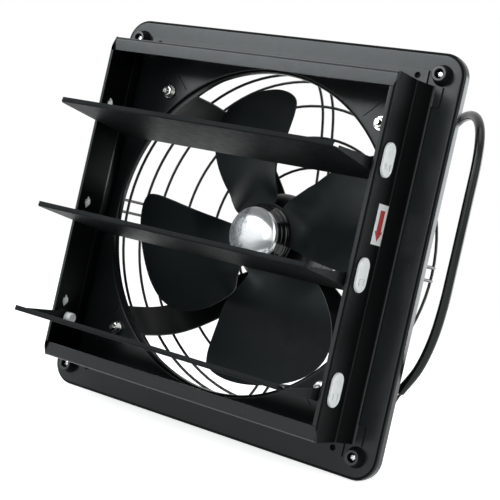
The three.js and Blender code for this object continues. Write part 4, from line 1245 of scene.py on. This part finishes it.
class FAN_OT_guard(bpy.types.Operator):
    """Welds the wire guard from rings, four pairs of ribs and four ears"""
    bl_idname = "fan.guard"
    bl_label = "Wire Guard"

    def execute(self, context):
        s = Lengths(context)
        thick = s.guard_wire / 2
        depth = s.guard_depth - s.guard_shoulder

        def dish(r):
            return s.guard_shoulder + depth * (1 - (r / s.guard_radius) ** 2) ** 0.6
        rings = [(s.arm_bolt_circle - 6.2, s.tab_front + thick)]
        rings += [(s.guard_radius - 2 + k, s.guard_shoulder - 23 * k) for k in (2, 1, 0)]
        rings += [(19 + 27.2 * k, dish(19 + 27.2 * k)) for k in (4, 3, 2, 1, 0)]
        hoops = [hoop(f"hoop_{i}", r, y, thick) for i, (r, y) in enumerate(rings)]
        rib_line = []
        for i, (r, y) in enumerate(rings):
            (r0, y0), (r1, y1) = rings[max(i - 1, 0)], rings[min(i + 1, len(rings) - 1)]
            run = Vector((r1 - r0, y1 - y0)).normalized()
            rib_line.append((r + run.y * s.guard_wire * 0.22, y - run.x * s.guard_wire * 0.22))
        rib_line.append((16, rib_line[-1][1]))
        rib = wire("rib", flowing([(5.5, y, r) for r, y in rib_line], 6), thick, 3)
        ribs = [copied(rib, f"rib_{k}_{m}", swing(90 * k, "Y") @ shift(m, 0, 0))
                for k in range(4) for m in (0, -11)]
        bpy.data.objects.remove(rib)
        heel, reach = s.arm_bolt_circle - 6.8, s.arm_bolt_circle
        outline = [(-6.5, heel), (6.5, heel)] + [
            (6.5 * math.cos(a), reach + 6.5 * math.sin(a)) for a in (math.pi * i / 16 for i in range(17))]
        ear = pushed("ear", outline, lambda x, z: (x, 0, z), s.tab_front, 1.5, (0, 1, 0))
        carved(ear, bar(2.8, -2, 12, 0, reach))
        eased(ear, 0.25)
        ears = [copied(ear, f"ear_{k}", swing(45 + 90 * k, "Y")) for k in range(4)]
        bpy.data.objects.remove(ear)
        guard = joined("basket_guard", *hoops, *ribs, *ears)
        enamel = coat("guard enamel", context.scene.fan_colours.guard, 0.3, peel=0.3, edge_wear_and_highlight=0.8, gloss=0.45)
        fitted(guard, "housing", "guard_black", enamel, "wire_guard", angle=50)
        return {"FINISHED"}


class FAN_OT_motor(bpy.types.Operator):
    """Draws the two motor shells"""
    bl_idname = "fan.motor"
    bl_label = "Motor Shells"

    def execute(self, context):
        s = Lengths(context)
        radius, inner, boss = s.motor_radius, s.motor_radius - 1.8, 13.1
        nose = s.motor_front - 1.5 - 1.8 - s.seat
        front = turned("shell_front", [
            (5.2, nose), (boss - 1, nose), (boss - 0.3, nose + 0.3), (boss, nose + 1), (boss, s.motor_front - 0.6),
            (boss + 0.6, s.motor_front), (boss + 6, s.motor_front), (boss + 6.4, s.motor_front + 0.4),
            (boss + 9.6, s.motor_front + 0.4), (boss + 10, s.motor_front),
            *arc(radius - 10, s.motor_front + 10, 10, 280, 360, 10), (radius, s.motor_seam - 3),
            (radius + 0.0, s.motor_seam - 0.4), (radius - 0.4, s.motor_seam), (inner, s.motor_seam),
            *arc(radius - 10, s.motor_front + 10, 8.2, 360, 280, 6), (boss, s.motor_front + 1.8),
            (boss, s.motor_front + 3.5), (boss - 1.8, s.motor_front + 3.5), (boss - 1.8, s.motor_front - 1.8),
            (5.2, s.motor_front - 1.8)], 72)
        back = turned("shell_rear", [
            (0, s.motor_back), (boss + 4, s.motor_back), (boss + 5, s.motor_back - 0.8),
            (boss + 12, s.motor_back - 0.8), (boss + 13, s.motor_back),
            *arc(radius - 3, s.motor_back - 3, 3, 90, 0, 6), (radius, s.motor_seam + s.seat + 0.4),
            (radius - 0.4, s.motor_seam + s.seat), (inner, s.motor_seam + s.seat),
            (inner, s.motor_back - 3), (inner - 1.2, s.motor_back - 1.8), (boss, s.motor_back - 2.6),
            (boss, s.motor_back - 8), (boss - 1.8, s.motor_back - 8), (boss - 1.8, s.motor_back - 1.8),
            (0, s.motor_back - 1.8)], 72)
        hole = placed(bar(5.5, radius - 6, radius + 4), shift(0, s.cord_depth, 0)
                      @ swing(-s.cord_angle, "Y") @ to_side())
        carved(back, hole)
        paint = coat("motor paint", context.scene.fan_colours.motor, 0.42, peel=0.7, size=1.6, gloss=0.4)
        fitted(eased(front, 0.15, 1, 60), "housing", "motor_black", paint, "motor_front_shell")
        fitted(eased(back, 0.15, 1, 60), "housing", "motor_black", paint, "motor_rear_shell")
        return {"FINISHED"}


class FAN_OT_inner_parts(bpy.types.Operator):
    """Gives the pieces inside the motor their finishes"""
    bl_idname = "fan.inner_parts"
    bl_label = "Inner Motor Parts"

    def execute(self, context):
        stack = laminated("sheet stack")
        for node, finish in (("stator_core", stack), ("rotor_core", stack), ("stator_winding", wound("winding")),
                             ("front_bearing", steel()), ("rear_bearing", steel()), ("rotor_shaft", steel())):
            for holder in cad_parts[node].material_slots:
                holder.material = finish
        return {"FINISHED"}


# ---------- blade and hub ----------
BLADE_OUTLINE = (     # degrees behind the front edge, share of the blade radius
    (0, 0.7), (0.5, 0.86), (3, 0.945), (12, 0.99), (27, 1), (40, 0.995), (49, 0.955), (56, 0.87), (62, 0.74),
    (67.5, 0.58), (72, 0.43))


class FAN_OT_blade(bpy.types.Operator):
    """Presses the four-paddle blade: twisted paddles on a disc"""
    bl_idname = "fan.blade"
    bl_label = "Fan Blade"
    across: bpy.props.IntProperty(name="Across", description="Faces along a paddle's rim", default=64)
    out: bpy.props.IntProperty(name="Out", description="Faces from the hub to the rim", default=28)

    def execute(self, context):
        s = Lengths(context)
        line = spline(BLADE_OUTLINE, 400)
        walked = [0.0]
        for a, b in zip(line, line[1:]):
            reach = (a.y + b.y) / 2
            walked.append(walked[-1] + math.hypot(b.y - a.y, math.radians(b.x - a.x) * reach))

        def mark(share):
            goal = share * walked[-1]
            k = min(next((i for i, w in enumerate(walked) if w >= goal), len(line) - 1), len(line) - 1)
            if k == 0:
                return line[0]
            part = (goal - walked[k - 1]) / max(walked[k] - walked[k - 1], 1e-9)
            return line[k - 1].lerp(line[k], part)

        def level(angle, radius):
            t = min(max((radius - s.disc_radius - 2) / (s.blade_radius * 0.52 - s.disc_radius - 2), 0), 1)
            share = angle / 66 - 0.5
            return s.blade_plane - 0.75 + t * t * (3 - 2 * t) * (share * 37 - 1.5 + 3 * (1 - 4 * share * share))
        put_down()
        bpy.ops.mesh.primitive_grid_add(x_subdivisions=self.across, y_subdivisions=self.out, size=1)
        paddle = named("paddle")
        rework(paddle)
        mesh = bmesh.from_edit_mesh(paddle.data)
        for vertex in mesh.verts:
            u, v = vertex.co.x + 0.5, vertex.co.y + 0.5
            rim = mark(u)
            angle = 72 * u + (rim.x - 72 * u) * v ** 1.5
            radius = 22 + (rim.y * s.blade_radius - 22) * v
            turn = math.radians(s.blade_start + angle)
            vertex.co = Vector((radius * math.cos(turn), level(angle, radius), radius * math.sin(turn))) * MM
        bmesh.update_edit_mesh(paddle.data)
        bpy.ops.mesh.select_all(action="SELECT")
        bpy.ops.mesh.normals_make_consistent(inside=False)
        put_down()
        wall(paddle, 1.5)
        eased(paddle, 0.5, 3, 50)
        paddles = [copied(paddle, f"paddle_{k}", swing(-90 * k, "Y")) for k in range(4)]
        bpy.data.objects.remove(paddle)
        disc = turned("disc", [
            (4.3, s.disc_front - 0.12), (s.disc_radius - 0.8, s.disc_front - 0.12),
            (s.disc_radius - 0.2, s.disc_front + 0.15), (s.disc_radius, s.disc_front + 0.6),
            (s.disc_radius, s.blade_plane + 0.2), (s.disc_radius - 0.5, s.blade_plane + 0.5),
            (4.3, s.blade_plane + 0.5)], 96)
        # Its edges are painted lighter, partly as wear and partly as a painted edge highlight.
        paint = coat("blade paint", context.scene.fan_colours.blade, 0.40, peel=0.25, size=0.9, edge_wear_and_highlight=2.4, gloss=0.09, edge_highlight=0.02)
        fitted(joined("paddle_wheel", disc, *paddles), "rotor", "blade_black", paint, "fan_blade", angle=40)
        return {"FINISHED"}


class FAN_OT_hub(bpy.types.Operator):
    """Turns the black hub collar and the polished hub cap"""
    bl_idname = "fan.hub"
    bl_label = "Hub"

    def execute(self, context):
        s = Lengths(context)
        back, front, wide, cap = s.disc_front - s.seat, s.collar_front, s.collar_radius, s.cap_radius
        slope = (wide - 1 - cap - 0.3) / (back - 3 - front - 0.8)

        def flank(depth, out=0.0):
            return (cap + 0.3 + slope * (depth - 0.8) + out, front + depth)
        collar = turned("collar_ring", [
            (4.3, front), (cap - 1.4, front), (cap - 0.5, front), (cap + 0.05, front + 0.2), flank(0.8), flank(3.0),
            flank(3.2, -0.3), flank(3.6, -0.3), flank(3.8), flank(7.4), flank(7.7, 0.45), flank(8.3, 0.5),
            flank(8.6, 0.1), flank(9.3), (wide - 0.5, back - 2.4), (wide, back - 1.7), (wide, back - 0.4),
            (wide - 0.35, back), (4.3, back)], 128)
        gloss = coat("collar gloss", context.scene.fan_colours.collar, 0.16, peel=0.15, edge_wear_and_highlight=0.5, gloss=0.5,
                     vary=0.04)
        fitted(collar, "rotor", "collar_black", gloss, "hub_collar", angle=30)
        shoulder, top = s.cap_back - s.cap_skirt, s.cap_back - s.cap_skirt - s.cap_dome

        def crown(radius, height, level, steps):
            return [(radius * i / steps, level + height * (i / steps) ** 4.2) for i in range(steps + 1)]
        outer, inner = crown(cap - 1.6, s.cap_dome - 1.5, top, 26), crown(cap - 2.4, s.cap_dome - 1.4, top + 1, 12)
        cover = turned("hub_cover", [
            *outer, *[(cap - 1.6 + r, shoulder + y) for r, y in arc(0, 0.1, 1.6, -60, 0, 7)],
            (cap, shoulder + 1.3), (cap - 0.22, shoulder + 1.45), (cap - 0.22, shoulder + 1.7),
            (cap, shoulder + 1.85), (cap, s.cap_back - 0.2), (cap - 0.2, s.cap_back), (cap - 1, s.cap_back),
            (cap - 1, shoulder + 0.9), *reversed(inner)], 128)
        # The second colour is the painted dark reflection on the cap's lower left.
        plate = polished("polished plate", (0.95, 0.96, 0.97), (0.06, 0.066, 0.074))
        fitted(cover, "rotor", "cap_chrome", plate, "hub_cap", angle=60)
        return {"FINISHED"}


# ---------- side label ----------
class FAN_OT_label(bpy.types.Operator):
    """Sticks the plain arrow label on the right side of the box"""
    bl_idname = "fan.label"
    bl_label = "Arrow Label"

    def execute(self, context):
        s = Lengths(context)
        x = s.half_width + 0.02
        corner = [(-35.4, 11.9), (-18.9, 11.9), (-18.9, 43.2), (-35.4, 43.2)]
        paper = pushed("paper", corner, lambda y, z: (0, y, z), x, 0.12, (1, 0, 0))
        mid = -27.15
        arrow = [(mid, 14.6), (mid + 6.3, 22.4), (mid + 3.7, 22.4), (mid + 3.7, 38.6), (mid - 3.7, 38.6),
                 (mid - 3.7, 22.4), (mid - 6.3, 22.4)]
        mark = pushed("mark", arrow, lambda y, z: (0, y, z), x + 0.1, 0.05, (1, 0, 0))
        white = moulded("label paper", (0.80, 0.80, 0.79), 0.45, size=0.3, depth=0.01, dirt=0.95)
        red = moulded("arrow ink", context.scene.fan_colours.arrow, 0.42, size=0.3, depth=0.01, dirt=0.85)
        fitted(paper, "housing", "panel_black", white)
        fitted(mark, "housing", "panel_black", red)
        return {"FINISHED"}


# ---------- stage ----------
class FAN_OT_stage(bpy.types.Operator):
    """Sets the floor, the world and the studio lamps"""
    bl_idname = "fan.stage"
    bl_label = "Stage"

    def execute(self, context):
        put_down()
        floor_height = CAD_BOX[0].z - 0.0002
        bpy.ops.mesh.primitive_plane_add(size=14, location=(0, 0, floor_height))
        floor = named("floor")
        finish, surface = shader("pale floor", (0.86, 0.86, 0.86), 0.9, specular_ior_level=0.0,
                                 emission_color=(1, 1, 1, 1))
        rays = add(finish, "ShaderNodeLightPath")
        seen = add(finish, "ShaderNodeMath", _0=rays.outputs["Is Camera Ray"], _1=rays.outputs["Is Glossy Ray"])
        seen.operation = "MAXIMUM"
        also = add(finish, "ShaderNodeMath", _0=seen.outputs[0], _1=rays.outputs["Is Transmission Ray"])
        also.operation = "MAXIMUM"
        glow = add(finish, "ShaderNodeMath", _0=also.outputs[0], _1=0.70)
        glow.operation = "MULTIPLY"
        finish.node_tree.links.new(glow.outputs[0], surface.inputs["Emission Strength"])
        floor.data.materials.append(finish)

        world = context.scene.world or bpy.data.worlds.new("studio")
        context.scene.world = world
        world.use_nodes = True
        tree = world.node_tree
        tree.nodes.clear()
        rays = tree.nodes.new("ShaderNodeLightPath")
        out = tree.nodes.new("ShaderNodeOutputWorld")
        mix = tree.nodes.new("ShaderNodeMixShader")
        plain, light = tree.nodes.new("ShaderNodeBackground"), tree.nodes.new("ShaderNodeBackground")
        light.inputs["Color"].default_value = (1, 1, 1, 1)
        light.inputs["Strength"].default_value = 0.35
        plain.inputs["Color"].default_value = (1, 1, 1, 1)
        plain.inputs["Strength"].default_value = 1.0
        last = rays.outputs["Is Camera Ray"]
        for ray in ("Is Glossy Ray", "Is Transmission Ray"):
            step = tree.nodes.new("ShaderNodeMath")
            step.operation = "MAXIMUM"
            tree.links.new(last, step.inputs[0])
            tree.links.new(rays.outputs[ray], step.inputs[1])
            last = step.outputs[0]
        tree.links.new(last, mix.inputs[0])
        tree.links.new(light.outputs[0], mix.inputs[1])
        tree.links.new(plain.outputs[0], mix.inputs[2])
        tree.links.new(mix.outputs[0], out.inputs["Surface"])

        for name, place, aim, size, power in (
                ("key", (-1.25, -1.85, 1.0), (0, 0, 0), 1.5, 38), ("front", (0.2, -2.0, 0.7), (0, 0, 0), 1.6, 12),
                ("top", (0.3, -0.5, 2.2), (0, 0, 0), 1.5, 10), ("side", (2.0, -0.8, 0.7), (0, 0, 0), 1.2, 5),
                ("back", (1.25, 1.8, 0.2), (0, 0, 0), 1.5, 28)):
            lamp = bpy.data.lights.new(name, "AREA")
            lamp.shape = "DISK"
            lamp.size = size
            lamp.energy = power
            lamp.color = (0.92, 0.98, 1.0)
            holder = bpy.data.objects.new(name, lamp)
            context.scene.collection.objects.link(holder)
            aimed = Vector(aim) - Vector(place)
            holder.matrix_world = Matrix.Translation(place) @ aimed.to_track_quat("-Z", "Y").to_matrix().to_4x4()
        context.scene.view_settings.view_transform = "Standard"
        return {"FINISHED"}


# ---------- add-on ----------
OPERATORS = (
    FAN_OT_camera, FAN_OT_cord, FAN_OT_panel, FAN_OT_shutter_box, FAN_OT_bushes, FAN_OT_louvres,
    FAN_OT_louvre_pins, FAN_OT_bumpers, FAN_OT_fasteners, FAN_OT_arms, FAN_OT_guard, FAN_OT_motor,
    FAN_OT_inner_parts, FAN_OT_blade, FAN_OT_hub, FAN_OT_label, FAN_OT_stage)


class FAN_PT_pieces(bpy.types.Panel):
    """Lists the pieces of the fan"""
    bl_idname = "FAN_PT_pieces"
    bl_label = "Exhaust Fan"
    bl_space_type = "VIEW_3D"
    bl_region_type = "UI"
    bl_category = "Fan"

    def draw(self, context):
        column = self.layout.column(align=True)
        for operator in OPERATORS:
            column.operator(operator.bl_idname)
        for group in (context.scene.fan_sizes, context.scene.fan_colours):
            box = self.layout.box()
            for key in group.bl_rna.properties.keys():
                if key not in ("rna_type", "name"):
                    box.prop(group, key)


CLASSES = (FanSizes, FanColours, *OPERATORS, FAN_PT_pieces)


def register():
    for cls in CLASSES:
        bpy.utils.register_class(cls)
    bpy.types.Scene.fan_sizes = bpy.props.PointerProperty(type=FanSizes)
    bpy.types.Scene.fan_colours = bpy.props.PointerProperty(type=FanColours)


def unregister():
    del bpy.types.Scene.fan_colours
    del bpy.types.Scene.fan_sizes
    for cls in reversed(CLASSES):
        bpy.utils.unregister_class(cls)


def main():
    register()
    for step in (bpy.ops.fan.camera, bpy.ops.fan.cord, bpy.ops.fan.panel, bpy.ops.fan.shutter_box,
                 bpy.ops.fan.bushes, bpy.ops.fan.louvres, bpy.ops.fan.louvre_pins, bpy.ops.fan.bumpers,
                 bpy.ops.fan.fasteners, bpy.ops.fan.arms, bpy.ops.fan.guard, bpy.ops.fan.motor,
                 bpy.ops.fan.inner_parts, bpy.ops.fan.blade, bpy.ops.fan.hub, bpy.ops.fan.label,
                 bpy.ops.fan.stage):
        step()


if __name__ == "__main__":
    main()
